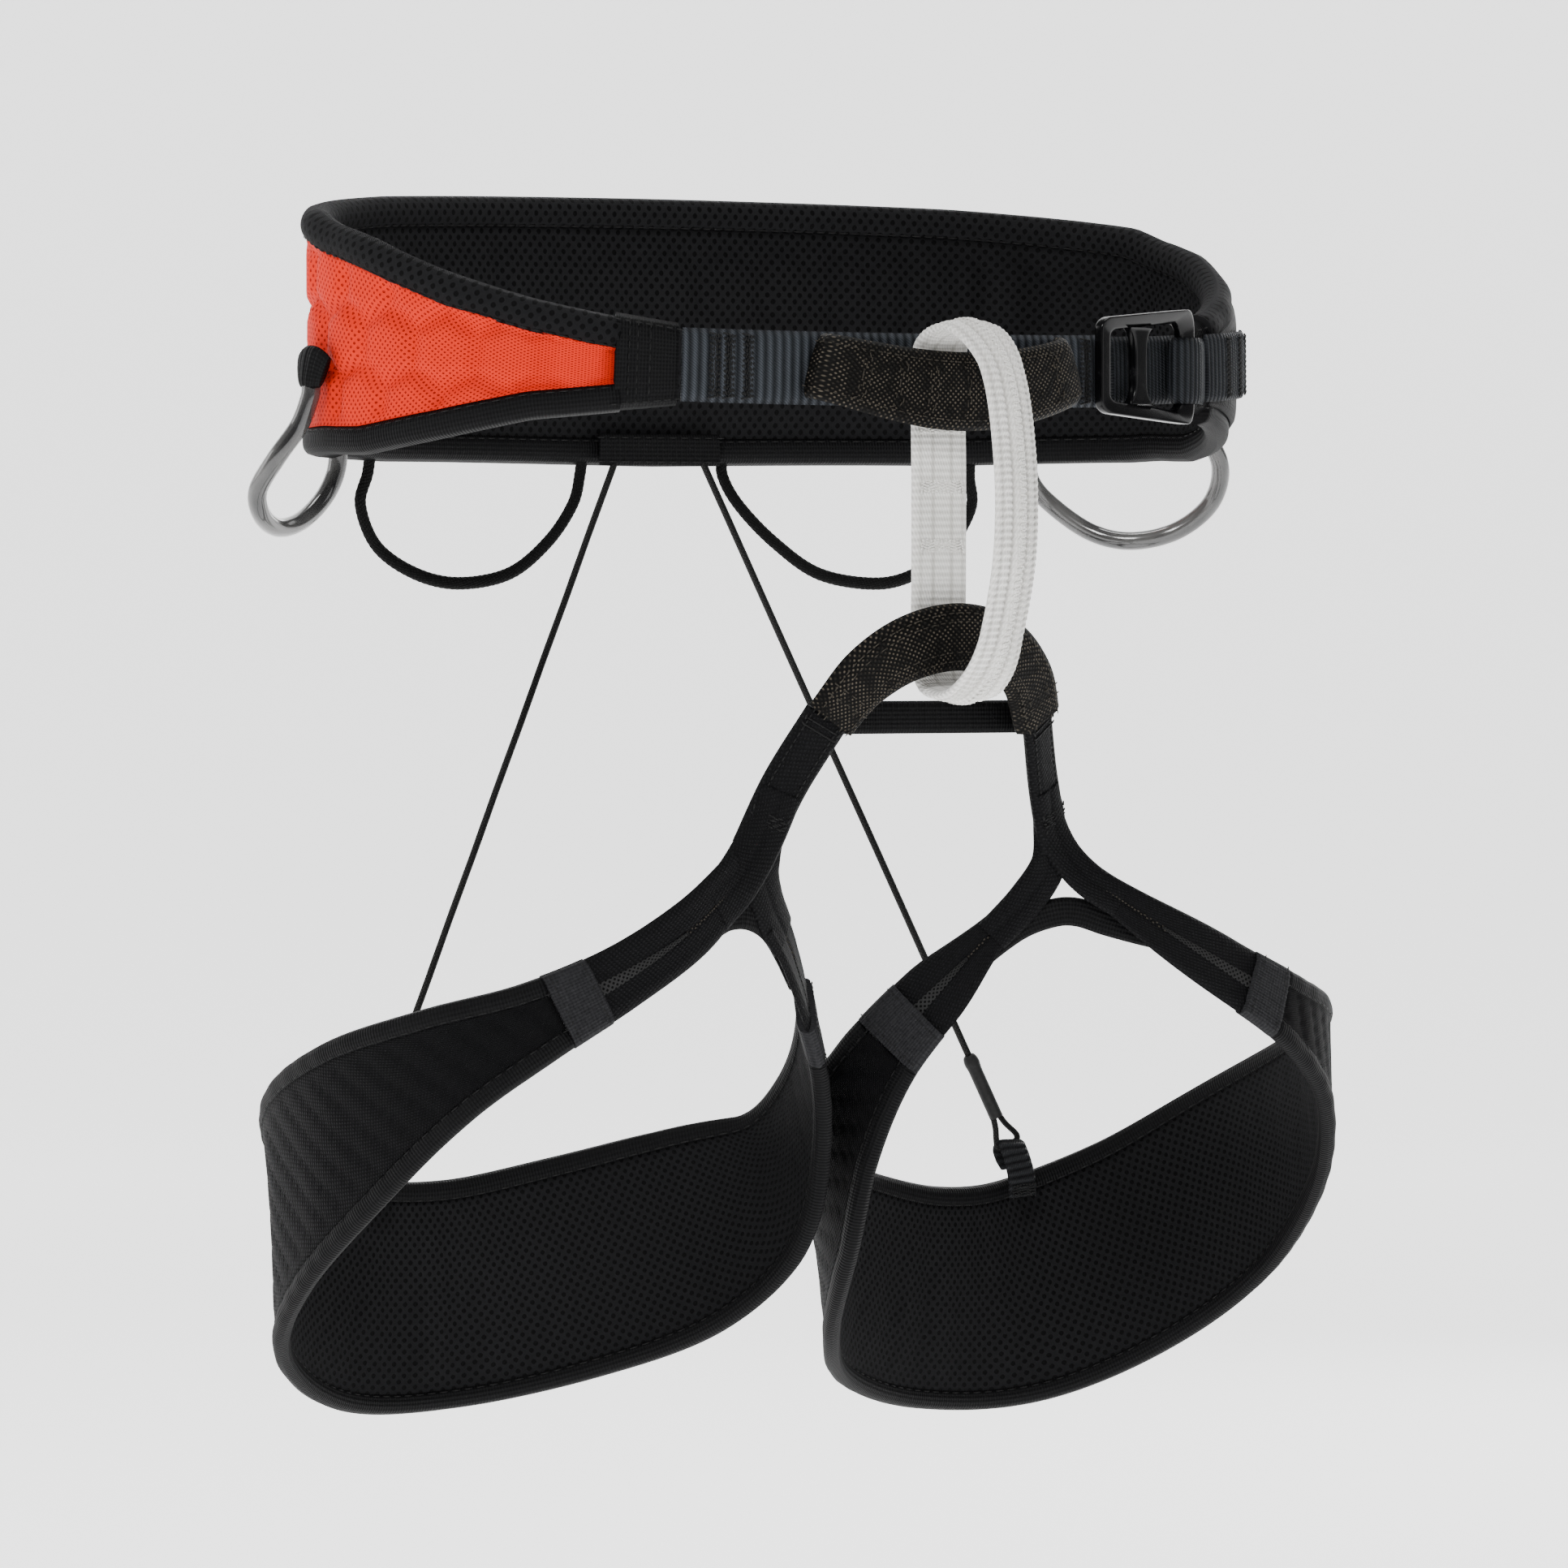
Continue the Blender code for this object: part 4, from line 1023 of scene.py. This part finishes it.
WHITE_TAPE = woven_white()
belay_points = [(BELAY_SIDE, y * MILLIMETRE, z * MILLIMETRE) for y, z in BELAY_ROUTE]
belay_path = through(belay_points, 560, closed=True)
belay_out = np.cross(headings(belay_path, True), (1.0, 0, 0))
belay_out *= np.sign(np.sum(belay_out * (belay_path - belay_path.mean(axis=0)), axis=1, keepdims=True))
turn = np.radians(BELAY_TWIST) * np.clip((-0.100 - belay_path[:, 1]) / 0.02, 0, 1) ** 2
belay_out = np.column_stack([belay_out[:, 0] * np.cos(turn) - belay_out[:, 1] * np.sin(turn),
                             belay_out[:, 0] * np.sin(turn) + belay_out[:, 1] * np.cos(turn),
                             belay_out[:, 2]])
belay = band("belay_loop_tape", belay_path, belay_out, BELAY_WIDTH / 2, -BELAY_THICKNESS / 2,
             BELAY_THICKNESS / 2, WHITE_TAPE, 12, True, tape_ridge, 3.2)
finished(belay, "belay_loop", ("belay_loop",))
WHITE_THREAD = thread_finish("white_thread", (0.5, 0.49, 0.46), (0.9, 0.89, 0.86))
out, across = directions(belay_path, belay_out, True)
tacks = [zigzag(belay_path, -out, across, at, BELAY_WIDTH / 2 - 0.0022, BELAY_THICKNESS / 2, 0.0034, 23)
         for at in (22, 60, 98, 136)]
tacks.append([belay_path[k] + across[k] * (0.0011 if k % 4 < 2 else -0.0011)
              + out[k] * (BELAY_THICKNESS / 2 + 0.0007) for k in range(len(belay_path))])
sewn("belay_loop_tacks", "belay_loop", "white_webbing", tacks, WHITE_THREAD, *TACK)


# ---- Lower tie-in arch and leg bridge ---------------------------------------------------------
# A stiff arch of tape in the same speckled sheath, held open by a narrow strap across its foot. Two
# short knit straps run down from its feet to the leg loops, each sewn down with a box of tacks.
ARCH_THICKNESS, ARCH_WIDTH, ARCH_END_WIDTH = 0.006, 0.0184, 0.016
ARCH_ROUTE = ((-34, -86, -104), (-26.5, -92, -92.5), (-15, -96.5, -84.5), (0, -98, -81.5),
              (15, -96.5, -84.5), (26.5, -92, -92.5), (34, -86, -104))                   # millimetres
CROSS_STRAP_WIDTH, CROSS_STRAP_LEVEL = 0.009, -0.1035
BRIDGE_STRAP_WIDTH, BRIDGE_STRAP_THICKNESS = 0.013, 0.004
BRIDGE_SEAM = 0.0042                     # its two seams, either side of its middle
BRIDGE_FACING = (0.35, -0.93, 0)         # where its face points, on the left


def heathered_knit(name, dark, light, scale=1.0):
    """Close black knit with slanting ridges and a faint grey heather."""
    finish = Finish(name, 0.7)
    u, v = finish.axes()
    stitch = (u + v * 0.5).wave(0.0013 * scale) * (v - u * 0.3).wave(0.0010 * scale)
    share = stitch * 0.7 + finish.noise(800, 1) * 0.35
    return finish.done(finish.blend(share, dark, light), stitch, 0.00028)


KNIT = heathered_knit("black_knit", (0.0005, 0.0005, 0.0006), (0.0075, 0.0075, 0.0085))
arch_path = through(np.array(ARCH_ROUTE) * MILLIMETRE, 130)
share = np.abs(np.linspace(-1, 1, len(arch_path)))
arch_half = ARCH_WIDTH / 2 + (ARCH_END_WIDTH - ARCH_WIDTH) / 2 * share ** 2
arch = band("lower_tie_in_sheath", arch_path, (0, -1, 0), arch_half, -ARCH_THICKNESS / 2, ARCH_THICKNESS / 2,
            SHEATH, 9, roundness=3.0, relief=checked)
finished(arch, "leg_bridge", ("lower_tie_in",))
arch_out, arch_across = directions(arch_path, (0, -1, 0))
rows = [line_on(arch_path, arch_out, arch_across, s * (arch_half - inset), ARCH_THICKNESS / 2 - 0.0002)
        for s, inset in ((1, 0.0026), (-1, 0.0026), (1, 0.0050), (-1, 0.0050))]
rows += [line_over(arch_path, arch_out, arch_across, at, arch_half[at] - 0.002,
                   ARCH_THICKNESS / 2 - 0.0001, 14) for at in (9, 13, 116, 120)]
sewn("lower_tie_in_stitches", "leg_bridge", "sheath", rows, SHEATH_THREAD, 0.0018, 0.0009, 0.00038)

foot = np.array(ARCH_ROUTE[-1]) * MILLIMETRE
behind = foot[1] + ARCH_THICKNESS / 2 + 0.0026
cross_path = np.array([(x, behind, CROSS_STRAP_LEVEL) for x in np.linspace(-foot[0], foot[0], 90)])
cross = band("cross_strap_tape", cross_path, (0, -1, 0), CROSS_STRAP_WIDTH / 2, -0.001, 0.001, BINDING, 5,
             relief=ribs(0.0001, 3500))
finished(cross, "leg_bridge", ("cross_strap",))
for side, name in SIDES:
    x, y, z = JUNCTION
    route = [(foot[0] + 0.0004, foot[1] + 0.0008, foot[2] + 0.0010),
             (x - 0.0075, y - 0.0055, z + 0.021), (x - 0.0006, y - 0.0006, z + 0.003)]
    path = through([(side * a, b, c) for a, b, c in route], 60)
    out, across = directions(path, (BRIDGE_FACING[0] * side, *BRIDGE_FACING[1:]))
    strap = band("bridge_strap_" + name, path, out, BRIDGE_STRAP_WIDTH / 2,
                 -BRIDGE_STRAP_THICKNESS / 2, BRIDGE_STRAP_THICKNESS / 2, KNIT, 7,
                 relief=grooves(0.0005, BRIDGE_SEAM, 0.0005))
    finished(strap, "leg_bridge", ("riser_strap_" + name,))
    lift = BRIDGE_STRAP_THICKNESS / 2 + 0.0001
    rows = [line_on(path, out, across, s * BRIDGE_SEAM, lift - 0.0004) for s in (1, -1)]
    rows.append(zigzag(path, out, across, 6, 0.0052, lift, 0.0030, 17))
    rows.append(zigzag(path, out, across, 46, 0.0052, lift, 0.0034, 19))
    sewn("bridge_strap_stitches_" + name, "leg_bridge", "leg_knit", rows, BLACK_THREAD,
         0.0016, 0.0004, 0.0005)


# ---- Leg loop pads ----------------------------------------------------------------------------
# Each pad is a foam strip with black knit outside, pressed in slanting channels, and black mesh
# inside. It is bound along both edges in stretch tape and swells a little between the bindings.
LEG_RING = ((55, -74, -146, 16), (76, -82, -160, 17), (100, -84, -173, 18), (125, -80, -185, 23),
            (146, -66, -197, 34), (158, -40, -213, 49), (158, -7, -232, 60), (143, 21, -251, 63),
            (113, 36, -264, 65), (80, 36, -265, 64), (47, 24, -258, 63), (23, 4, -248, 60),
            (9, -15, -235, 50), (6, -29, -216, 36), (12, -43, -194, 25), (28, -58, -171, 18),
            (44, -68.5, -152, 15))                          # millimetres: side, forward, up, width
LEG_CENTRE = (0.080, -0.020)
LEG_PAD_THICKNESS, LEG_BINDING, WRAP_THICKNESS, WRAP_LENGTH = 0.005, 0.0065, 0.0056, 0.013
PAD_FROM, PAD_TO = 0.151, 0.885          # shares of the ring's length, from the outer strap's top
CHANNEL_PITCH = 0.0085
LEG_FOAM, LEG_FACE, LEG_SWELL = 0.004, 0.0019, 0.0019
LEG_LINES = through(np.array(LEG_RING) * MILLIMETRE, 400)
LEG_LENGTH = lengths_along(LEG_LINES[:, :3])[-1]


def leg_stretch(side, start, end, step):
    """Part of a leg loop: places, outward and across directions, and half widths."""
    along = lengths_along(LEG_LINES[:, :3])
    wanted = np.linspace(start, end, int((end - start) * along[-1] / step) + 3) * along[-1]
    read = np.array([np.interp(wanted, along, LEG_LINES[:, k]) for k in range(4)]).T
    outward = np.column_stack([(read[:, 0] - LEG_CENTRE[0]) * side, read[:, 1] - LEG_CENTRE[1],
                               np.zeros(len(read))])
    path = np.array([dropped(p, side) for p in read[:, :3]])
    if side < 0:
        path, outward, read = path[::-1], outward[::-1], read[::-1]
    outward, across = directions(path, outward)
    return path, outward, across * np.sign(across[:, 2:3] + 1e-9), read[:, 3] / 2


def channels(u, v):
    """Depth of the slanting channels pressed in the knit, from 0 to 1."""
    phase = (u + v * 0.55) / CHANNEL_PITCH
    return np.clip(np.abs(np.mod(phase, 1) - 0.5) * 2 - 0.55, 0, 1) / 0.45


def slanting_knit():
    """Black knit with fine slanting courses and a little grey on their crowns."""
    finish = Finish("slanting_knit", 0.7)
    u, v = finish.axes()
    course = (u * 0.7 + v).wave(0.0015)
    wale = (u - v * 0.35).wave(0.0011)
    knit = course * wale
    share = knit * 0.8 + finish.noise(500, 1) * 0.25
    return finish.done(finish.blend(share, (0.0004, 0.0004, 0.0005), (0.0065, 0.0065, 0.0075)), knit, 0.0003)


SLANTED, LEG_MESH = slanting_knit(), black_diamond_mesh("leg_lining_mesh", 0.0030)
for side, name in SIDES:
    body, gap = "leg_loop_" + name, 0.0004 / LEG_LENGTH
    path, out, across, half = leg_stretch(side, PAD_FROM + gap, PAD_TO - gap, PAD_STEP)
    face_half = half - LEG_BINDING + EDGE_TUCK
    picks = np.linspace(0, len(path) - 1, int(len(path) * PAD_STEP / SIM_STEP)).astype(int)
    rise_out, rise_in = blown_up(path[picks], out[picks], across[picks], -face_half[picks],
                                 face_half[picks], LEG_FOAM, LEG_SWELL)
    knit = pad_half("leg_pad_knit_" + name, path, out, across, -face_half, face_half, 0.0002, LEG_FACE,
                    rise_out, SLANTED, lambda u, v: 0.0006 * channels(u, v))
    finished(knit, body, ("leg_shell_" + name,))
    mesh_side = pad_half("leg_pad_mesh_" + name, path, -out, across, -face_half, face_half, 0.0,
                         LEG_FACE, rise_in, LEG_MESH, lambda u, v: 0.0003 * channels(u, v))
    finished(mesh_side, body, ("leg_lining_" + name,))
    lines = []
    for place, sign in (("top", 1), ("bottom", -1)):
        line = path + across * (sign * (half - LEG_BINDING / 2))[:, None]
        edge = band("leg_binding_%s_%s" % (place, name), line, out, LEG_BINDING / 2, -LEG_PAD_THICKNESS / 2,
                    LEG_PAD_THICKNESS / 2, BINDING, 6, roundness=2.4, relief=ribs(0.0001, 2600))
        finished(edge, body, ("leg_edge_%s_%s" % (place, name),))
        for face in (1, -1):
            lines.append(line_on(path, out, across, sign * (half - LEG_BINDING + 0.0013),
                                 face * (LEG_PAD_THICKNESS / 2 - 0.0004)))
    sewn("leg_pad_stitches_" + name, body, "binding", lines, BLACK_THREAD)


# ---- Leg loop straps and wraps ----------------------------------------------------------------
# A flat knit strap runs from each end of a pad to the junction in front. It is two tapes joined by
# a zigzag seam along its middle, and a grey elastic wrap holds it to the pad.
RING_LAST = 0.985
LEG_STRAP_THICKNESS = 0.0022
OUTER_FACING, INNER_FACING = (-0.12, -0.99), (-0.63, -0.78)
ROLLED = {"left": 0.48, "right": 0.0}    # share of the width that is rolled in at the junction
ROLLED_SHARE = 0.85                      # share of a strap's length over which it flattens out
GUSSET_FROM, GUSSET_FLARE = 0.45, 0.003  # the mesh gusset's start, and how fast it opens
UNDER_ROUTE = ((-24, 15.8, -33), (-16.5, 10.6, -25), (-8, 4.8, -18), (0.5, 0.4, -14.8), (7.5, -1.2, -14.8),
               (15, -4.0, -17.2), (24, -6.8, -19.6), (32, -8.9, -21.4))       # millimetres from the junction


def grey_elastic():
    """Ribbed dark grey elastic with a heathered face."""
    finish = Finish("grey_elastic", 0.7)
    u, v = finish.axes()
    weave = v.wave(0.0009) * 0.6 + u.wave(0.0011) * 0.4
    share = weave * 0.3 + finish.noise(900, 2) * 0.7
    return finish.done(finish.blend(share, (0.0025, 0.0025, 0.003), (0.026, 0.026, 0.028)), weave, 0.0003)


def seam_line(path, out, across, lift, width=0.0004):
    """A narrow zigzag line along the middle of a strap."""
    to_and_fro = np.where(np.arange(len(path)) % 2, width, -width)
    return line_on(path, out, across, to_and_fro, lift)


def ridged(u, v):
    """Relief of a seam along the middle and a soft ridge near each edge."""
    return -0.0005 * np.exp(-(v / 0.0007) ** 2) - grooves(0.0003, 0.0062, 0.0012)(u, v)


def near_junction(points, side, count):
    """A curve through points given in millimetres from the junction."""
    return through([dropped(np.array(JUNCTION) + np.array(p) * MILLIMETRE, side) for p in points], count)


def turned(side, first, last, share):
    """Facing directions that turn level from one to another along a strap."""
    first, last = np.array((*first, 0)), np.array((*last, 0))
    return (first + (last - first) * share[:, None]) * (side, 1, 1)


# the gusset mesh's light colour, far above the yarn's own, is a painted glint
GREY_ELASTIC, PAINTED_GLINT_MESH = grey_elastic(), black_diamond_mesh("gusset_mesh", 0.0017, (0.055, 0.055, 0.055))
for side, name in SIDES:
    body, rows, seams = "leg_loop_" + name, [], []
    wrap = WRAP_LENGTH / LEG_LENGTH
    for part, start, end in (("outer", PAD_FROM - wrap, PAD_FROM), ("inner", PAD_TO, PAD_TO + wrap)):
        path, out, across, half = leg_stretch(side, start, end, 0.0006)
        grip = band("leg_grip_%s_%s" % (part, name), path, out, half + 0.0003, -WRAP_THICKNESS / 2,
                    WRAP_THICKNESS / 2, GREY_ELASTIC, 12, roundness=6.0,
                    relief=lambda u, v: 0.00012 * np.sin(v * 2 * math.pi / 0.0022) + 0 * u)
        finished(grip, body, ("leg_wrap_%s_%s" % (part, name),))
        rows += [line_over(path, out, across, at, half[at] - 0.001, WRAP_THICKNESS / 2 - 0.0001, 24)
                 for at in (3, len(path) - 4)]
    margin = 0.0008 / LEG_LENGTH
    for part, start, end in (("outer", 0, PAD_FROM - wrap + margin),
                             ("inner", PAD_TO + wrap - margin, RING_LAST)):
        path, out, across, half = leg_stretch(side, start, end, 0.0011)
        away = shares(path) if (part == "outer") == (side > 0) else shares(path)[::-1]
        flat = np.clip(away / ROLLED_SHARE, 0, 1)
        half = half * (1 - ROLLED[name] * (1 - flat ** 2 * (3 - 2 * flat)))
        strap = band("leg_strap_knit_%s_%s" % (part, name), path, out, half, -LEG_STRAP_THICKNESS / 2,
                     LEG_STRAP_THICKNESS / 2, KNIT, 9, relief=ridged)
        finished(strap, body, ("leg_strap_%s_%s" % (part, name),))
        seams.append(seam_line(path, out, across, LEG_STRAP_THICKNESS / 2 - 0.0002))
        picked = away > GUSSET_FROM
        gusset = band("leg_strap_gusset_%s_%s" % (part, name), path[picked], out[picked],
                      0.0004 + GUSSET_FLARE * (away[picked] - GUSSET_FROM), 0.0008,
                      LEG_STRAP_THICKNESS / 2 + 0.00015, PAINTED_GLINT_MESH, 4, roundness=6.0)
        finished(gusset, body, ())
    under = near_junction(UNDER_ROUTE, side, 110)
    below = band("leg_under_tape_" + name, under, turned(side, INNER_FACING, OUTER_FACING, shares(under)),
                 0.004, -0.0008, 0.0008, BINDING, 5, relief=ribs(0.0001, 3000))
    finished(below, body, ("leg_strap_under_" + name,))
    sewn("leg_strap_stitches_" + name, body, "leg_knit", rows, BLACK_THREAD, 0.0013, 0.0004, 0.00045)
    sewn("leg_strap_seam_" + name, body, "leg_knit", seams, SHEATH_THREAD, 0.0007, 0.0006, 0.0005)


# ---- Junctions --------------------------------------------------------------------------------
# Where a bridge strap meets its leg loop, its two layers part and are sewn over the outer and the
# inner strap. Each turn of knit is baked in place, across the bridge and its leg loop.
TURNS = {"outer": (((-6.7, -5.1, 19), (-3.0, -2.7, 9), (2.0, -2.6, 0.5), (8.5, -4.6, -6.2),
                    (17, -8.0, -11.8)), OUTER_FACING),
         "inner": (((-6.7, -4.7, 19), (-3.0, -2.1, 9), (-2.6, -0.9, -2.0), (-7.5, 3.0, -11.5),
                    (-15.5, 8.0, -21.0)), INNER_FACING)}       # millimetres from the junction
BENDS_FROM, BENDS_TO = 22, 60            # two stations on a turn, passed with its two bodies
for side, name in SIDES:
    for part, (points, facing_end) in TURNS.items():
        path = near_junction(points, side, 80)
        share = shares(path)
        half = 0.0060 + 0.0021 * share * (1 - 1.5 * ROLLED[name] / ROLLED["left"])
        thick = 0.0021 - 0.0007 * share
        turn = band("junction_%s_%s" % (part, name), path, turned(side, BRIDGE_FACING[:2], facing_end, share),
                    half, -thick, thick, KNIT, 8, relief=lambda u, v: -0.0004 * np.exp(-(v / 0.0007) ** 2))
        finished(turn, None, (),
                 ("leg_bridge", "leg_loop_" + name, tuple(path[BENDS_FROM]), tuple(path[BENDS_TO])))


# ---- Riser tabs and anchor --------------------------------------------------------------------
# A folded tab of ribbed webbing is sewn inside each leg pad's top edge, and the riser's end loop is
# hitched in its fold. The risers' top ends are held under a strip sewn inside the belt's back.
TAB_WIDTH = 0.0095
TAB_ROUTE = ((1.5, -5.3, -15), (1, -5.3, -9.5), (0.4, -4.3, -5), (0, -3.0, -1.8), (0, -0.9, 0.6),
             (0, 1.0, -1.5), (0.2, 0.0, -4.4), (0.6, -1.6, -6.6))   # millimetres: sideways, back and up
FINE_RIB = 0.0021
ANCHOR_LEVEL, ANCHOR_DEPTH = -0.02885, 0.0017    # its height, and how far it lies inside the lining
ANCHOR_HALF_LENGTH, ANCHOR_HALF_WIDTH, ANCHOR_HALF_THICKNESS = 0.020, 0.0045, 0.00075
# the light colour here is the painted glint on the ribs
FINE_WEBBING = ribbed_webbing("tab_webbing", (0.0015, 0.0015, 0.0018), (0.022, 0.023, 0.025), FINE_RIB)
for side, name in SIDES:
    top = np.array((side * RISER_TOP[0], *RISER_TOP[1:]))
    end = dropped(RISER_END, side)
    x, y, z = end + unit(end - top) * (END_LOOP_LENGTH + 0.0006)
    path = through([(x + side * a * MILLIMETRE, y + b * MILLIMETRE, z + c * MILLIMETRE)
                    for a, b, c in TAB_ROUTE], 130)
    facing = np.cross(headings(path), (1.0, 0, 0))
    facing *= -np.sign(facing[0, 1])
    tab = band("riser_tab_fold_" + name, path, facing, TAB_WIDTH / 2, -0.0007, 0.0007, FINE_WEBBING, 6,
               relief=ribs(0.00015, 2 * math.pi / FINE_RIB))
    finished(tab, "leg_loop_" + name, ("riser_tab_" + name,))
    out, across = directions(path, facing)
    rows = [zigzag(path, out, across, at, TAB_WIDTH / 2 - 0.001, 0.0008, 0.002, 15) for at in (5, 13)]
    sewn("riser_tab_stitches_" + name, "leg_loop_" + name, "webbing", rows, BLACK_THREAD,
         0.0009, -0.0001, 0.0005)
strip_path = np.array([(x, BELT_BACK_DEPTH - BELT_THICKNESS / 2 - ANCHOR_DEPTH, ANCHOR_LEVEL)
                       for x in np.linspace(-ANCHOR_HALF_LENGTH, ANCHOR_HALF_LENGTH, 90)])
strip = band("riser_anchor_strip", strip_path, (0, -1, 0), ANCHOR_HALF_WIDTH, -ANCHOR_HALF_THICKNESS,
             ANCHOR_HALF_THICKNESS, BINDING, 6, relief=ribs(0.00008, 3000))
finished(strip, "waist_belt", ("riser_anchor",))
out, across = directions(strip_path, (0, -1, 0))
rows = [line_on(strip_path, out, across, s * 0.0034, 0.0008) for s in (1, -1)]
sewn("riser_anchor_stitches", "waist_belt", "webbing", rows, BLACK_THREAD)


# ---- Gear loops -------------------------------------------------------------------------------
# Two front gear loops of cord in clear grey tube, shaped to hang out from the pad, and two rear ones
# of thin black tape. A stitched hood of binding covers each front loop's forward end.
TUBE_DIAMETER, CORE_DIAMETER, REAR_TAPE = 0.0053, 0.0026, 0.0032
FRONT_GEAR = {1: ((144.8, -3, -16.5), (149, -3, -23), (156, -1, -33), (157, 5, -43.5), (150, 12, -51.5),
                  (139, 19, -54.5), (131, 28, -52), (122.5, 36, -44), (116.5, 38, -36.5)),
              -1: ((-144.8, 4, -16.5), (-147, 6, -24), (-152, 10, -33), (-153.5, 17, -41.5),
                   (-149.5, 22, -48), (-141, 28, -51.5), (-131, 33, -50), (-121.5, 37, -44),
                   (-116.5, 38, -36.5))}
REAR_GEAR = ((101, 46.5, -36), (102.5, 48, -45), (96, 50, -56.5), (84, 49.5, -64), (70, 49, -66.8),
             (52, 51, -64), (38, 53, -55), (28, 56, -44.5), (24, 58.5, -36))
HOOD_CLEARANCE = 0.0026


def clear_grey_tube():
    """Smoky plastic tube with a hard gloss, a mottled core that shows through, and lighter and darker stripes
    along it: painted highlight and shade.
    """
    finish = Finish("clear_grey_tube", 0.16, Specular_IOR_Level=0.6, Coat_Roughness=0.08,
                    Coat_Weight=0.5, Alpha=0.9)
    mottle = finish.noise(70, 3).between(0.35, 0.7)
    u, v = finish.axes()
    # the wave round the tube paints lighter and darker stripes along it: painted highlight and shade of its
    # roundness
    share = mottle * 0.45 + v.wave(0.006) * 0.5
    return finish.done(finish.blend(share, (0.012, 0.012, 0.0125), (0.095, 0.093, 0.09)), None, 0.0,
                       mottle * 0.1 + 0.12)


GREY_TUBE = clear_grey_tube()
TAPE = heathered_knit("black_tape", (0.001, 0.001, 0.001), (0.009, 0.009, 0.009), 0.8)
for side, name in SIDES:
    x, y, z = FRONT_GEAR[side][0]
    ends = FRONT_GEAR[side][-1]
    whole = [(x - side * 0.6, y, z + 3.5), *FRONT_GEAR[side],
             (ends[0] - side * 1.0, ends[1] - 0.6, ends[2] + 9)]
    path = through(np.array(whole) * MILLIMETRE, 150)
    hose = tube("gear_tube_" + name, path, TUBE_DIAMETER, GREY_TUBE, (0.76 * side, 0.65, 0), 20)
    finished(hose, "gear_loop_front_" + name, ("gear_loop_front_" + name,))
    core = tube("gear_core_" + name, path, CORE_DIAMETER, CORD_FINISH, (0.76 * side, 0.65, 0), 10)
    finished(core, "gear_loop_front_" + name, ("gear_core_front_" + name,))
    float(lengths_along(path)[-1])
    (x, y, z), (p, q, r) = REAR_GEAR[0], REAR_GEAR[-1]
    whole = [(x - 0.4, y - 1.2, z + 8), *REAR_GEAR, (p - 0.5, q - 0.6, r + 7)]
    path = through([(side * x * MILLIMETRE, y * MILLIMETRE, z * MILLIMETRE) for x, y, z in whole], 280)
    tape = tube("gear_tape_" + name, path, REAR_TAPE, TAPE, (0, 1, 0), 12,
                relief=lambda u, a: 0.00022 * np.abs(np.sin(a)) - 0.00035 * np.abs(np.cos(a))
                + 0.00005 * np.sin(u * 3600 + a))
    finished(tape, "gear_loop_rear_" + name, ("gear_loop_rear_" + name,))
    float(lengths_along(path)[-1])
    x, y, z = np.array(FRONT_GEAR[side][0]) * MILLIMETRE
    face = side * (BELT_HALF_WIDTH + BELT_THICKNESS / 2 + 0.00035)
    centre = np.array((face + side * 0.0025, y, z + HOOD_CLEARANCE + 0.0030))
    arc = np.linspace(-1, 1, 50)
    hood_path = np.array([centre + np.array((side * (0.0012 - 0.0022 * t * t), 0.0060 * t,
                                             0.0030 - 0.0016 * t * t)) for t in arc])
    hood_half = 0.0060 - 0.0016 * np.abs(arc) ** 3
    hood = band("gear_hood_" + name, hood_path, (side, 0, 0.15), hood_half, -0.0016, 0.0014, BINDING, 7,
                roundness=2.6, relief=ribs(0.0001, 3000))
    finished(hood, "waist_belt", ("gear_tab_" + name,))
